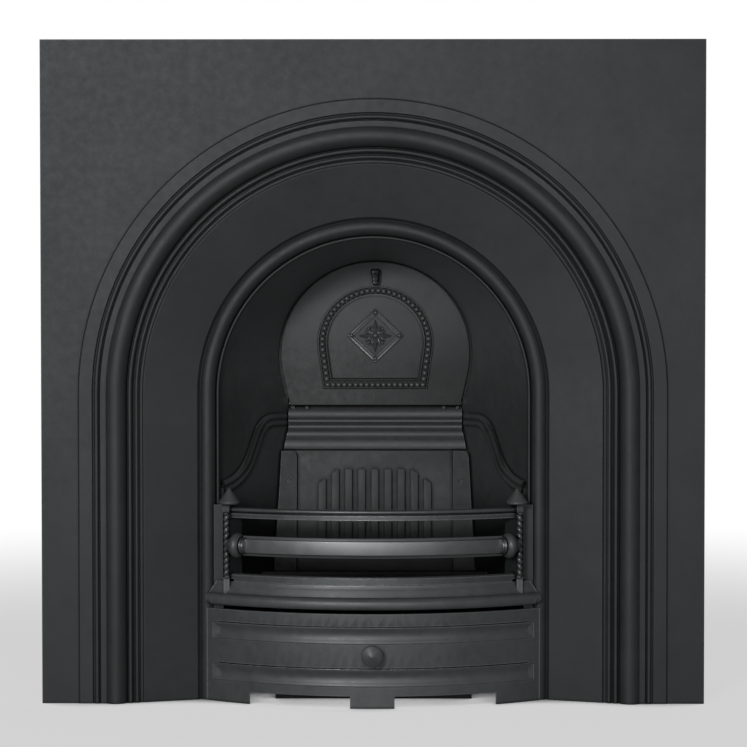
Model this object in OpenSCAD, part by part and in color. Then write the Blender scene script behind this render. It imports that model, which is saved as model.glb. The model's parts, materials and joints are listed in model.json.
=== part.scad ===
// Cast iron arched fireplace insert: a square front plate with a moulded arch,
// a hood and angled cheeks behind it, a hinged damper, bow-fronted bars and an ash cover.
// X runs to the right, Y to the back, Z up. The origin is on the hearth, at mid-width,
// in the plane of the plate's front face. Lengths are in millimetres.

/* [Front plate] */
// Width of the front plate
plate_w = 965; // [940:5:1060]
// Height of the front plate
plate_h = 965; // [930:5:1060]
// Wall of the castings that make the front
plate_t = 6; // [5:0.5:7]
// Height of the arch's centre over the hearth
spring_z = 451; // [445:1:470]
// Half-width of the arched opening, which is its radius too
arch_r = 227; // [222:1:235]

/* [Arch moulding] */
// Width of the thin bead on the opening's edge
edge_bead_w = 5; // [4:0.5:7]
// Radius of the roll round the opening
inner_roll_r = 12.5; // [10:0.5:14]
// Width of the splayed panel
splay_w = 76; // [60:1:85]
// How far the splayed panel sinks from its outer to its inner edge
splay_depth = 23.5; // [18:0.5:28]
// How far the splay's outer edge lies behind the plate's face
splay_set = 7.5; // [6:0.5:9]
// Distance from the splay to the first small bead
bead_a_gap = 10; // [8:0.5:12]
// Radius of the first small bead
bead_a_r = 2.6; // [2:0.1:3]
// Distance between the two small beads
bead_b_gap = 9.5; // [8.5:0.5:12]
// Radius of the second small bead
bead_b_r = 3.2; // [2.4:0.1:3.6]
// Distance from the second bead to the middle of the big roll
big_roll_gap = 21; // [20:0.5:26]
// Radius of the big roll
big_roll_r = 17; // [15:0.5:18]
// How far the big roll stands before the plate
big_roll_h = 8.2; // [6:0.1:10]
// Distance from the big roll to the outer small bead
bead_c_gap = 27; // [25:0.5:32]
// Radius of the outer small bead
bead_c_r = 3.2; // [2.4:0.1:3.6]
// Width of the flat raised band round the moulding
band_w = 18.5; // [12:0.5:22]
// How far the flat band is raised
band_h = 2; // [1:0.5:3]
// Depth of the opening's edge behind the plate's face
lip_depth = 52; // [50:1:60]
// How far each jamb strip narrows the opening
jamb_in = 6; // [4:0.5:8]
// Height of the jamb strips
jamb_h = 287.5; // [270:0.5:300]

/* [Fire chamber] */
// Depth from the opening's edge to the foot of the fireback
fire_depth = 98; // [90:1:115]
// Half-width of the back at its foot, on the cheeks' inner faces
back_half_w = 155.5; // [150:0.5:160]
// Wall of the cheeks and the hood
cheek_t = 6; // [5:0.5:8]
// Height of the grate ledge at the back
ledge_z = 178; // [170:1:182]
// Height of the fireback's top edge
fireback_top_z = 361; // [352:1:366]
// Height of the lintel's top edge
lintel_top_z = 423; // [418:1:430]
// How far the fireback leans back, in degrees
fireback_lean = 5.4; // [3:0.2:7]
// How far the lintel leans back, in degrees
lintel_lean = 12.7; // [10:0.1:15]
// Thickness of the fireback
fireback_t = 9; // [7:0.5:12]
// Width of each side strip of the fireback, at its foot
strip_w = 36.5; // [33:0.5:42]

/* [Cheek rib] */
// Height of the rib where it starts at the opening
rib_z = 311; // [306:1:316]
// Slope of the rib's foot, in degrees
rib_foot_slope = 14; // [8:1:18]
// Length of the rib's straight foot
rib_foot_run = 13; // [8:1:20]
// Radius of the rib's lower curve
rib_low_r = 85; // [75:1:90]
// Slope of the rib's steepest stretch, in degrees
rib_slope = 61.3; // [55:0.1:64]
// Run of the rib's steep straight stretch
rib_mid_run = 16.5; // [10:0.5:20]
// Radius of the rib's upper curve
rib_high_r = 39.5; // [34:0.5:44]
// Radius of each of the rib's two beads
rib_bead_r = 4.6; // [3.5:0.1:5]
// Distance between the two beads of the rib
rib_bead_gap = 10; // [9:0.5:12]

/* [Fireback ribs] */
// Number of upright ribs on the fireback
rib_n = 9; // [5:2:9]
// Width of one upright rib
rib_w = 11.4; // [9:0.2:13]
// Distance between the middles of two ribs
rib_pitch = 20.1; // [16:0.1:21]
// How far the ribs stand out
rib_h = 4; // [2:0.5:6]
// Height of the ribs' tops over the hearth
rib_top_z = 331; // [320:1:340]
// Height of the ribs' feet over the hearth
rib_foot_z = 207; // [200:1:225]
// How much shorter the outermost ribs are
rib_step = 15; // [8:1:20]

/* [Damper door] */
// Radius of the damper door
door_r = 145.5; // [138:0.5:150]
// Half-width of the door's straight foot
door_foot_w = 131; // [125:0.5:134]
// Height of the door's round centre over its foot
door_rise = 81; // [74:1:88]
// Thickness of the door
door_t = 6; // [5:0.5:8]
// How far the door leans back when it is shut, in degrees
door_lean = 12; // [9:0.5:14]
// Gap between the lintel's top and the door's foot
door_gap = 5.4; // [5:0.1:7]
// Gap round the edge of the door
door_edge_gap = 2.3; // [1.5:0.1:3.5]
// Width of the seat that the shut door rests on
door_seat_w = 9; // [7:0.5:12]
// Radius of the door's hinge pins
hinge_pin_r = 2.5; // [2:0.1:3]
// Running clearance of the hinge pins
hinge_clear = 0.05; // [0.03:0.01:0.08]

/* [Door ornament] */
// Half-width of the beaded arch
bead_arch_r = 90; // [84:0.5:94]
// Height of the beaded arch's centre over the door's foot
bead_arch_y = 98; // [94:1:104]
// Height of the beaded arch's foot over the door's foot
bead_foot_y = 25; // [20:1:30]
// Half-width of the beaded arch at its foot
bead_foot_w = 80.5; // [76:0.5:84]
// Width of each of the two rims beside the beads
bead_rim_w = 2.6; // [2:0.1:3.5]
// Width of the beaded channel between the rims
bead_channel_w = 10.6; // [9:0.2:12]
// Height of the rims
bead_rim_h = 1.8; // [1:0.1:2.4]
// Radius of one bead
bead_r = 3.3; // [2.5:0.1:3.6]
// Distance from one bead to the next up the sides and round the arch
bead_pitch = 8.5; // [7.5:0.1:11]
// Distance from one bead to the next along the foot
bead_foot_pitch = 9.2; // [8:0.1:11]
// Width of the hook at its square head
hook_w = 13; // [10:0.5:15]
// Height of the hook from its head to its round tip
hook_h = 25; // [20:0.5:28]
// How far the hook stands out from the door
hook_out = 15; // [12:0.5:18]
// Height of the lozenge's middle over the door's foot
lozenge_y = 108.4; // [100:1:116]
// Half the width of the lozenge
lozenge_w = 44.4; // [38:0.2:48]
// Half the height of the lozenge
lozenge_h = 43.6; // [38:0.1:48]

/* [Front bars] */
// Radius of the bars' bow, on the face of the top rail
bow_r = 437.8; // [430:0.2:439]
// How far the top rail's face stands before the plate at mid-width
bow_out = 38; // [34:0.5:42]
// Half-width over the two end posts
post_x = 220; // [214:0.5:220.4]
// Height of the end posts' tops
post_top_z = 289; // [280:1:294]
// Height of the top rail's upper edge
top_rail_z = 284.5; // [278:0.5:286]
// Height of the mid rail's middle
mid_rail_z = 230; // [226:0.5:234]
// Height of the mid rail with its chamfers
mid_rail_h = 29; // [24:0.5:31]
// Height of the bottom rail's upper edge
bottom_rail_z = 188; // [186:0.5:192]
// Radius of the knuckles at the mid rail's ends
knuckle_r = 18.5; // [16:0.5:19]
// Radius of the rope columns
rope_r = 4.4; // [3.5:0.1:4.6]
// Length along the column of the strand's full turn
rope_lead = 8.86; // [7:0.02:12]
// Radius of the finials' foot
finial_r = 16; // [12:0.5:16.5]
// Height of the finials
finial_h = 24; // [18:0.5:32]

/* [Sill and ash cover] */
// Height of the sill's top
sill_top_z = 176; // [174:0.5:178]
// Height of the sill's top over the middle of its nose
sill_drop = 25.5; // [24:0.5:27]
// Width of the sill's ledge under the grate's front edge
grate_ledge_w = 22; // [16:1:26]
// Radius of the sill's round nose
nose_r = 8.5; // [7:0.5:9]
// Height of the ash cover
cover_h = 136; // [126:1:137]
// Half-width of the ash cover
cover_half_w = 246; // [240:1:250]
// Wall of the ash cover
cover_t = 6; // [5:0.5:8]
// Height of the middle of the upper flute
flute_high_z = 104.5; // [98:0.5:108]
// Height of the middle of the lower flute
flute_low_z = 43; // [38:0.5:48]
// Height of one flute
flute_h = 24; // [18:0.5:28]
// Depth of one flute
flute_d = 3.2; // [2:0.1:4]
// Height of the two notches in the cover's foot
notch_h = 17; // [12:0.5:20]
// Half-width of the cover's middle foot
foot_half_w = 32; // [24:1:40]
// Half-width between the cover's two end feet
notch_half_w = 179; // [170:1:190]
// Radius of the cover's knob
knob_r = 15.5; // [12:0.5:18]
// Height of the knob over the hearth
knob_z = 78; // [66:1:84]
// How far the knob stands out from the cover
knob_out = 26; // [20:0.5:32]

/* [Grate and ash pan] */
// Thickness of the bottom grate
grate_t = 12; // [10:0.5:14]
// Height of the grate's top
grate_z = 172; // [168:1:173]
// Width of one slot in the grate
slot_w = 10; // [7:0.5:12]
// Distance between the middles of two slots
slot_pitch = 22; // [20:0.5:28]
// Gap between the ash pan's back corners and the ledge's ears
pan_gap = 2.4; // [2:0.2:25]
// Depth of the ash pan from front to back
pan_d = 98; // [80:1:102]
// Height of the ash pan
pan_h = 62; // [45:1:75]
// Thickness of the ash pan's sheet
pan_t = 1.5; // [1:0.1:2]

/* [Fasteners] */
// Radius of the assembly bolts' shank
bolt_r = 4; // [3:0.5:4]
// Radius of the threaded holes for the wall lugs
lug_hole_r = 4.25; // [3.4:0.05:5.1]
// Distance from side to side between the wall-lug holes
lug_span_x = 880; // [870:5:900]
// Distance from top to bottom between the wall-lug holes
lug_span_z = 760; // [720:5:780]

/* [Hidden] */
$fn = 96;

iron = "#3b3e3d";
iron_dark = "#2f3231";
iron_light = "#474a49";
polished = "#8d8f8f";
zinc = "#9a9c9b";
steel_sheet = "#54585a";
rope_white = "#d8d4c6";

// Overlap that joins two solids of one casting
weld = 0.6;
// Gap between two castings that lie on each other
seat = 0.3;
// Room round a bolt in a plain hole
bolt_gap = 0.3;
// Corner radius and height of the bolts' hexagon heads
bolt_head_r = 7.2;
bolt_head_h = 5.3;
// Radius of the bosses that take the bolts
boss_r = 8;
// Reach of the shapes that only cut or limit a casting
beyond = 400;

// Radii of the arch moulding, worked out from the opening outwards
roll_at = arch_r + edge_bead_w + inner_roll_r;
splay_in = roll_at + inner_roll_r + 1.5;
splay_out = splay_in + splay_w;
bead_a_at = splay_out + bead_a_gap;
bead_b_at = bead_a_at + bead_b_gap;
big_roll_at = bead_b_at + big_roll_gap;
bead_c_at = big_roll_at + bead_c_gap;
band_in = bead_c_at + 6.5;
band_out = band_in + band_w;
splay_floor = -splay_set - splay_depth;
roll_mid = splay_floor - inner_roll_r;
big_mid = big_roll_h - big_roll_r;
rope_seal_r = 4.5;
seal_at = roll_at - 0.5;
flange_out = splay_in + 24.5;
// Where the hood's flange ends and the cheeks' flanges start
flange_foot_z = 330;
hood_bolt_at = splay_in + 11;
hood_bolt_z = 380;
cheek_bolt_z = [70, 240];

// The cheeks run from the opening's edge to the foot of the fireback
cheek_x = arch_r - 5;
back_y = lip_depth + fire_depth;
cheek_angle = atan((cheek_x - back_half_w) / fire_depth);
foot_s = fire_depth / cos(cheek_angle);
face_half_w = back_half_w - strip_w;
// Where the fireback's plane meets the hearth and the lintel
fireback_foot_y = back_y - ledge_z * tan(fireback_lean);
fireback_top_y = back_y + (fireback_top_z - ledge_z) * tan(fireback_lean);
lintel_top_y = fireback_top_y + (lintel_top_z - fireback_top_z) * tan(lintel_lean);
lintel_top_w = half_w_at(lintel_top_y) - 1;
lintel_foot_w = half_w_at(fireback_top_y) - 4;
cheek_len = (lintel_top_y - lip_depth) / cos(cheek_angle);
door_y = lintel_top_y;
door_z = lintel_top_z + door_gap;
seat_z = -door_t - seat;
lintel_t = 16;
lintel_rise = (lintel_top_z - fireback_top_z) / cos(lintel_lean);
bridge_z = -lintel_t - seat;
bridge_half_w = 118;
pin_y = 4;
pin_z = -door_t - 4.5;
pin_x = min(door_foot_w - 15, half_w_at(lintel_top_y) - 18);
pin_len = 34;
knuckle_len = 14;

// The bow of the bars, the sill and the cover has one centre behind the insert
bow_y = bow_r - bow_out;
cover_r = bow_r + 5.8;
nose_out_r = bow_r + 12.2;
sill_half_w = cover_half_w + 1;
sill_back_r = bow_r - 11.8;
rail_mid_r = bow_r + 6.2;
mid_rail_end_x = 189;
grate_r = bow_r - 14;
// The grate keeps its full width up to its shoulders and narrows with the cheeks to its back
grate_half_w = arch_r - jamb_in - 33;
grate_shoulder_y = lip_depth + 8;
rear_lip_y = back_y - 24;
grate_back_y = rear_lip_y - 1;
grate_back_w = half_w_at(grate_back_y) - 3;
peg_z = 250;
peg_y = lip_depth - 9;
peg_r = 4.5;
post_w = 10;
post_y = bow_at(bow_r, post_x - post_w) - 1.65;
cap_t = 11.5;
rope_x = post_x - post_w / 2 - 0.6;
rope_y = post_y - 0.8;
rope_low_z = 183;
post_foot_z = sill_top_z + 4;
finial_x = post_x - 9.6;
finial_y = post_y + 1;
pan_front_y = 42;
ledge_ear_t = 12;
pan_w = 2 * (half_w_at(pan_front_y + pan_d) - (ledge_ear_t + seat) / cos(cheek_angle) - pan_gap);
// Height of the middle of the sill's nose, and the lugs that bolt the sill to the jambs
nose_z = sill_top_z - sill_drop;
jamb_gap = 0.4;
sill_lug_w = 16;
sill_bolt_y = max(lip_depth - 11, bow_at(sill_back_r, arch_r - jamb_in) + 5.4);

function half_w_at(y) = cheek_x - (y - lip_depth) * tan(cheek_angle);
// Y of a point at half-width x on a bow of radius r
function bow_at(r, x) = bow_y - sqrt(r * r - x * x);
// Height of the cheek rib's middle at a distance s from the opening's edge
rib_a = rib_foot_run;
rib_b = rib_a + rib_low_r * (sin(rib_slope) - sin(rib_foot_slope));
rib_c = rib_b + rib_mid_run;
rib_d = rib_c + rib_high_r * sin(rib_slope);
rib_a_z = rib_z + rib_foot_run * tan(rib_foot_slope);
rib_b_z = rib_a_z + rib_low_r * (cos(rib_foot_slope) - cos(rib_slope));
rib_c_z = rib_b_z + rib_mid_run * tan(rib_slope);
rib_d_z = rib_c_z + rib_high_r * (1 - cos(rib_slope));
function rib_at(s) =
    s < rib_a ? rib_z + s * tan(rib_foot_slope) :
    s < rib_b ? rib_a_z + rib_low_r * (cos(rib_foot_slope)
        - sqrt(1 - pow(sin(rib_foot_slope) + (s - rib_a) / rib_low_r, 2))) :
    s < rib_c ? rib_b_z + (s - rib_b) * tan(rib_slope) :
    s < rib_d ? rib_d_z - rib_high_r + sqrt(max(0, rib_high_r * rib_high_r - pow(rib_d - s, 2))) :
    rib_d_z;

// A frame whose X runs across, Y up a leaning plane and Z out of its front
module leaning(y, z, lean) {
    translate([0, y, z]) rotate([90 - lean, 0, 0]) children();
}
function leaning_point(x, v, w, y, z, lean) =
    [x, y + v * sin(lean) - w * cos(lean), z + v * cos(lean) + w * sin(lean)];

// A frame whose X runs back along the right cheek, Y into the fire and Z up
module along_cheek() {
    translate([cheek_x, lip_depth, 0]) rotate([0, 0, 90 + cheek_angle]) children();
}
module both_sides() {
    children();
    mirror([1, 0, 0]) children();
}

// The outline of the door and of all that follows its edge: a circle with tangents to a narrower foot
function tangent_at(r, w, rise) = acos(r / norm([w, rise])) - atan2(rise, w);
function horseshoe(r, w, rise, steps = 60) =
    let (low = tangent_at(r, w, rise))
    concat([[-w, 0], [w, 0]],
        [for (i = [0:steps]) let (a = low + (180 - 2 * low) * i / steps) [r * cos(a), rise + r * sin(a)]]);

// ---------------------------------------------------------------- front plate
// Section of the arch moulding: X is the distance from the arch's centre, Y the height before the plate
module moulding_section() {
    hollow_r = big_roll_r - plate_t;
    difference() {
        union() {
            polygon([
                [band_out + band_h, 0], [band_out, band_h], [band_in, band_h], [band_in - 1.5, 0.3],
                [bead_c_at - bead_c_r - 1.2, 0.3], [bead_c_at - bead_c_r - 2.4, 2.2],
                [big_roll_at + big_roll_r * 0.65, 2.2], [big_roll_at, big_mid + 3],
                [big_roll_at - big_roll_r * 0.85, -5], [bead_b_at + bead_b_r, -5],
                [bead_b_at - bead_b_r - 0.4, -5.5], [bead_b_at - bead_b_r - 1.4, -7.2],
                [bead_a_at + bead_a_r + 1, -7.2], [bead_a_at + bead_a_r, -6], [bead_a_at - bead_a_r - 0.8, -7.5],
                [bead_a_at - bead_a_r - 2, -splay_set - 2], [splay_out + 2, -splay_set - 2],
                [splay_out, -splay_set], [splay_in, splay_floor], [splay_in - 1.2, splay_floor - 2.5],
                [roll_at, roll_mid], [arch_r, roll_mid + 1], [arch_r, -lip_depth],
                [splay_in, -lip_depth], [splay_in, splay_floor - plate_t],
                [splay_out, -splay_set - plate_t], [bead_a_at, -splay_set - plate_t - 1.5],
                [big_roll_at - hollow_r, -splay_set - plate_t], [big_roll_at - hollow_r, big_mid],
                [big_roll_at + hollow_r, big_mid], [big_roll_at + big_roll_r, -plate_t],
                [band_out + band_h, -plate_t]
            ]);
            difference() {
                translate([big_roll_at, big_mid]) circle(r = big_roll_r);
                translate([big_roll_at - big_roll_r - 1, big_mid - big_roll_r - 1])
                    square([2 * big_roll_r + 2, big_roll_r + 1]);
            }
            translate([bead_c_at, 0.6]) circle(r = bead_c_r);
            translate([bead_b_at, -4.2]) circle(r = bead_b_r);
            translate([bead_a_at, -5.4]) circle(r = bead_a_r);
            translate([roll_at, roll_mid]) circle(r = inner_roll_r);
            translate([arch_r + edge_bead_w / 2, roll_mid + 1]) circle(r = edge_bead_w / 2);
        }
        translate([big_roll_at, big_mid]) circle(r = hollow_r);
        translate([arch_r - 1, -lip_depth - 10]) square([splay_in - arch_r + 2, 10]);
        translate([seal_at - rope_seal_r - 0.5, -lip_depth - 1]) square([2 * rope_seal_r + 1, 2 * rope_seal_r + 1.5]);
    }
}
module arch_ring() {
    translate([0, 0, spring_z]) rotate([90, 0, 0]) rotate_extrude(angle = 180) children();
}
module arch_leg(height) {
    linear_extrude(height = height) mirror([0, 1]) children();
}
module front_plate() {
    boss_z = [plate_h / 2 - lug_span_z / 2 + 17.5, plate_h / 2 + lug_span_z / 2 + 17.5];
    color(iron) difference() {
        union() {
            rotate([90, 0, 0]) translate([0, 0, -plate_t]) linear_extrude(height = plate_t) difference() {
                translate([-plate_w / 2, 0]) square([plate_w, plate_h]);
                translate([0, spring_z]) circle(r = band_in + 4);
                translate([-band_in - 4, -1]) square([2 * band_in + 8, spring_z + 1]);
            }
            arch_ring() moulding_section();
            both_sides() arch_leg(spring_z) moulding_section();
            both_sides() translate([arch_r - jamb_in, -roll_mid - inner_roll_r + 3, 0])
                cube([jamb_in + edge_bead_w + 3, lip_depth + roll_mid + inner_roll_r - 3, jamb_h]);
            hood_bolt_spots() bolt_boss();
            cheek_bolt_spots() bolt_boss();
            both_sides() for (z = boss_z) translate([lug_span_x / 2, 2, z]) rotate([-90, 0, 0])
                cylinder(h = 18, r = 12);
        }
        hood_bolt_spots() tapped_hole();
        cheek_bolt_spots() tapped_hole();
        both_sides() for (z = boss_z) translate([lug_span_x / 2, 7, z]) rotate([-90, 0, 0])
            cylinder(h = 20, r = lug_hole_r);
        both_sides() peg_place() cylinder(h = 8, r = peg_r);
        both_sides() sill_bolt_place() cylinder(h = 9, r = bolt_r);
    }
}
// Places of the bolts that hold the hood and the cheeks to the front plate, with Z towards the viewer
module hood_bolt_spots() {
    for (a = [15:30:165]) translate([hood_bolt_at * cos(a), 0, spring_z + hood_bolt_at * sin(a)])
        rotate([90, 0, 0]) children();
    side_bolt_spots([hood_bolt_z]) children();
}
module cheek_bolt_spots() {
    side_bolt_spots(cheek_bolt_z) children();
}
module side_bolt_spots(heights) {
    for (side = [-1, 1], z = heights) translate([side * hood_bolt_at, 0, z]) rotate([90, 0, 0]) children();
}
module bolt_boss() {
    translate([0, 0, -lip_depth]) cylinder(h = lip_depth + splay_floor, r = boss_r);
}
module tapped_hole() {
    translate([0, 0, -lip_depth - 1]) cylinder(h = 13, r = bolt_r);
}
module flange_hole() {
    translate([0, 0, -lip_depth - 20]) cylinder(h = 40, r = bolt_r + bolt_gap);
}
module peg_place() {
    translate([arch_r - jamb_in, peg_y, peg_z]) rotate([0, 90, 0]) children();
}

// ---------------------------------------------------------------- hood
// The hood is lofted from the arched opening to the edge of the door's seat. Its foot follows the cheek rib.
hood_leg_n = 8;
hood_arc_n = 56;
hood_deep_n = 14;
hood_n = 2 * hood_leg_n + hood_arc_n + 1;
function mix_of(a, b, t) = a * (1 - t) + b * t;
// Right-hand end of the opening's outline, from the rib's foot up to the spring line
function open_leg(t, out) = [arch_r + 0.5 + out, lip_depth + 0.2, mix_of(rib_at(0), spring_z, t)];
// Right-hand end of the outline round the door, up to where its round part starts
door_hole_r = door_r + door_edge_gap;
door_hole_w = door_foot_w + door_edge_gap;
door_low = tangent_at(door_hole_r, door_hole_w, door_rise);
function door_edge_point(x, v, out) =
    leaning_point(x, v, seat_z - (out > 0 ? 3.5 : 2.5), door_y, door_z, door_lean);
function door_leg(t, out) =
    let (knee = 0.35,
        low = [half_w_at(lintel_top_y) + rib_sink + seat + out, lintel_top_y, rib_d_z],
        mid = door_edge_point(door_hole_w + out, 0, out),
        high = door_edge_point((door_hole_r + out) * cos(door_low), door_rise + (door_hole_r + out) * sin(door_low), out))
    t < knee ? mix_of(low, mid, t / knee) : mix_of(mid, high, (t - knee) / (1 - knee));
function mirrored(p) = [-p[0], p[1], p[2]];
function open_outline(i, out) =
    i < hood_leg_n ? open_leg(i / hood_leg_n, out) :
    i > hood_leg_n + hood_arc_n ? mirrored(open_leg((hood_n - 1 - i) / hood_leg_n, out)) :
    let (a = 180 * (i - hood_leg_n) / hood_arc_n, r = arch_r + 0.5 + out)
    [r * cos(a), lip_depth + 0.2, spring_z + r * sin(a)];
function door_outline(i, out) =
    i < hood_leg_n ? door_leg(i / hood_leg_n, out) :
    i > hood_leg_n + hood_arc_n ? mirrored(door_leg((hood_n - 1 - i) / hood_leg_n, out)) :
    let (a = door_low + (180 - 2 * door_low) * (i - hood_leg_n) / hood_arc_n, r = door_hole_r + out)
    door_edge_point(r * cos(a), door_rise + r * sin(a), out);
// The rib's rise over the straight line between its ends fades out towards the spring line
function rib_lift(i, t) =
    let (k = i < hood_leg_n ? 1 - i / hood_leg_n :
            i > hood_leg_n + hood_arc_n ? 1 - (hood_n - 1 - i) / hood_leg_n : 0)
    k * (rib_at(t * cheek_len) - mix_of(rib_at(0), rib_d_z, t));
function hood_point(i, j, out) =
    let (t = j / hood_deep_n)
    mix_of(open_outline(i, out), door_outline(i, out), t) + [0, 0, rib_lift(i, t)];
module hood_shell() {
    ring = hood_deep_n + 1;
    pts = concat(
        [for (i = [0:hood_n - 1], j = [0:hood_deep_n]) hood_point(i, j, 0)],
        [for (i = [0:hood_n - 1], j = [0:hood_deep_n]) hood_point(i, j, cheek_t)]);
    outer = hood_n * ring;
    last = hood_n - 1;
    inner_faces = [for (i = [0:last - 1], j = [0:hood_deep_n - 1])
        each [[i * ring + j, i * ring + j + 1, (i + 1) * ring + j + 1],
            [i * ring + j, (i + 1) * ring + j + 1, (i + 1) * ring + j]]];
    outer_faces = [for (f = inner_faces) [outer + f[2], outer + f[1], outer + f[0]]];
    front_faces = [for (i = [0:last - 1])
        each [[i * ring, (i + 1) * ring, outer + (i + 1) * ring],
            [i * ring, outer + (i + 1) * ring, outer + i * ring]]];
    back_faces = [for (i = [0:last - 1])
        each [[i * ring + hood_deep_n, outer + i * ring + hood_deep_n, outer + (i + 1) * ring + hood_deep_n],
            [i * ring + hood_deep_n, outer + (i + 1) * ring + hood_deep_n, (i + 1) * ring + hood_deep_n]]];
    end_faces = [for (j = [0:hood_deep_n - 1])
        each [[j, outer + j, outer + j + 1], [j, outer + j + 1, j + 1],
            [last * ring + j, last * ring + j + 1, outer + last * ring + j + 1],
            [last * ring + j, outer + last * ring + j + 1, outer + last * ring + j]]];
    polyhedron(points = pts, faces = concat(inner_faces, outer_faces, front_faces, back_faces, end_faces));
}
module hood() {
    color(iron_dark) {
        hood_shell();
        // Flange against the back of the front plate
        difference() {
            translate([0, lip_depth + cheek_t, 0]) rotate([90, 0, 0]) linear_extrude(height = cheek_t) difference() {
                union() {
                    translate([0, spring_z]) circle(r = flange_out);
                    translate([-flange_out, flange_foot_z]) square([2 * flange_out, spring_z - flange_foot_z]);
                }
                translate([0, spring_z]) circle(r = arch_r + 2.5);
                translate([-flange_out - 1, flange_foot_z - flange_out])
                    square([2 * flange_out + 2, flange_out]);
                translate([-arch_r - 2.5, flange_foot_z - 1]) square([2 * arch_r + 5, spring_z - flange_foot_z + 1]);
            }
            hood_bolt_spots() flange_hole();
        }
        // Seat that the shut door rests on
        leaning(door_y, door_z, door_lean) translate([0, 0, seat_z - cheek_t])
            linear_extrude(height = cheek_t) difference() {
                translate([0, -door_edge_gap]) polygon(horseshoe(door_hole_r + cheek_t + 3,
                    door_hole_w + cheek_t + 3, door_rise + door_edge_gap));
                translate([0, 18]) polygon(horseshoe(door_r - door_seat_w, door_foot_w - 4, door_rise - 18));
                translate([-door_hole_w - 20, -20]) square([2 * door_hole_w + 40, 38]);
            }
        // Bridge behind the lintel, joined to the seat's two ends
        on_door() both_sides() translate([door_hole_w + 1.5, -8, bridge_z - cheek_t])
            cube([cheek_t + 1, 38, seat_z - bridge_z + cheek_t - 1]);
        difference() {
            on_lintel() translate([0, 0, bridge_z - cheek_t]) linear_extrude(height = cheek_t) {
                translate([-door_hole_w - 5, lintel_rise - 16]) square([2 * door_hole_w + 10, 36]);
                translate([-bridge_half_w, lintel_rise - 42]) square([2 * bridge_half_w, 30]);
            }
            lintel_bolt_place() cylinder(h = 60, r = bolt_r + bolt_gap, center = true);
        }
    }
}

// ---------------------------------------------------------------- cheeks
function cheek_outline(step = 3) = concat(
    [[0, 0], [cheek_len - 12, 0], [cheek_len - 12, 340], [cheek_len + 8, 350], [cheek_len + 8, rib_d_z - seat]],
    [for (s = [floor(cheek_len + 4):-step:0.1]) [s, rib_at(s) - seat]],
    [[0, rib_at(0) - seat]]);
// Section of the rib, two half-round beads: X is across the rib, Y the height over the cheek
rib_sink = 1.5;
rib_half = rib_bead_gap / 2;
rib_section = concat(
    [[rib_half + rib_bead_r, -rib_sink]],
    [for (a = [0:30:150]) [rib_half + rib_bead_r * cos(a), rib_bead_r * sin(a)]],
    [[0, rib_bead_r * 0.4]],
    [for (a = [30:30:180]) [rib_bead_r * cos(a) - rib_half, rib_bead_r * sin(a)]],
    [[-rib_half - rib_bead_r, -rib_sink]]);
function rib_slope_at(s) =
    s < rib_a ? rib_foot_slope :
    s < rib_b ? asin(sin(rib_foot_slope) + (s - rib_a) / rib_low_r) :
    s < rib_c ? rib_slope :
    s < rib_d ? asin((rib_d - s) / rib_high_r) : 0;
// Places along the rib at which the section stands, closer together in the curves
rib_stops = concat(
    [0.4],
    [for (i = [0:12]) rib_a + rib_low_r * (sin(rib_foot_slope + (rib_slope - rib_foot_slope) * i / 12)
        - sin(rib_foot_slope))],
    [for (i = [0:11]) rib_d - rib_high_r * sin(rib_slope * (1 - i / 11))],
    [cheek_len - 8]);
module rib() {
    n = len(rib_section);
    m = len(rib_stops);
    pts = [for (s = rib_stops, q = rib_section)
        [s - q[0] * sin(rib_slope_at(s)), q[1], rib_at(s) + q[0] * cos(rib_slope_at(s))]];
    side_faces = [for (k = [0:m - 2], j = [0:n - 1]) let (next = (j + 1) % n)
        each [[k * n + j, k * n + next, (k + 1) * n + next], [k * n + j, (k + 1) * n + next, (k + 1) * n + j]]];
    end_faces = [[for (j = [n - 1:-1:0]) j], [for (j = [0:n - 1]) (m - 1) * n + j]];
    polyhedron(points = pts, faces = concat(side_faces, end_faces));
}
module cheek() {
    difference() {
        union() {
            along_cheek() rotate([90, 0, 0]) linear_extrude(height = cheek_t) polygon(cheek_outline());
            along_cheek() rib();
            // Flange against the back of the front plate
            translate([cheek_x, lip_depth, 10]) cube([flange_out - cheek_x, cheek_t, rib_z - 10.6]);
            // Flange behind the fireback
            intersection() {
                leaning(fireback_foot_y, 0, fireback_lean) translate([face_half_w, 150, -fireback_t - cheek_t])
                    cube([60, 195, cheek_t]);
                along_cheek() translate([0, -1, 0]) cube([foot_s * 2, 200, 500]);
            }
        }
        cheek_bolt_spots() flange_hole();
        strip_screw_place() translate([0, 0, -40]) cylinder(h = 60, r = screw_r + bolt_gap);
        ledge_bolt_place() translate([0, 0, -20]) cylinder(h = 40, r = bolt_r + bolt_gap);
    }
}
module right_cheek() {
    color(iron_dark) cheek();
}
module left_cheek() {
    color(iron_dark) mirror([1, 0, 0]) cheek();
}
// Bolt place on the right cheek, with Z pointing into the fire
module ledge_bolt_place() {
    along_cheek() translate([foot_s - 28.4, 0, 60]) rotate([-90, 0, 0]) children();
}

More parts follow.
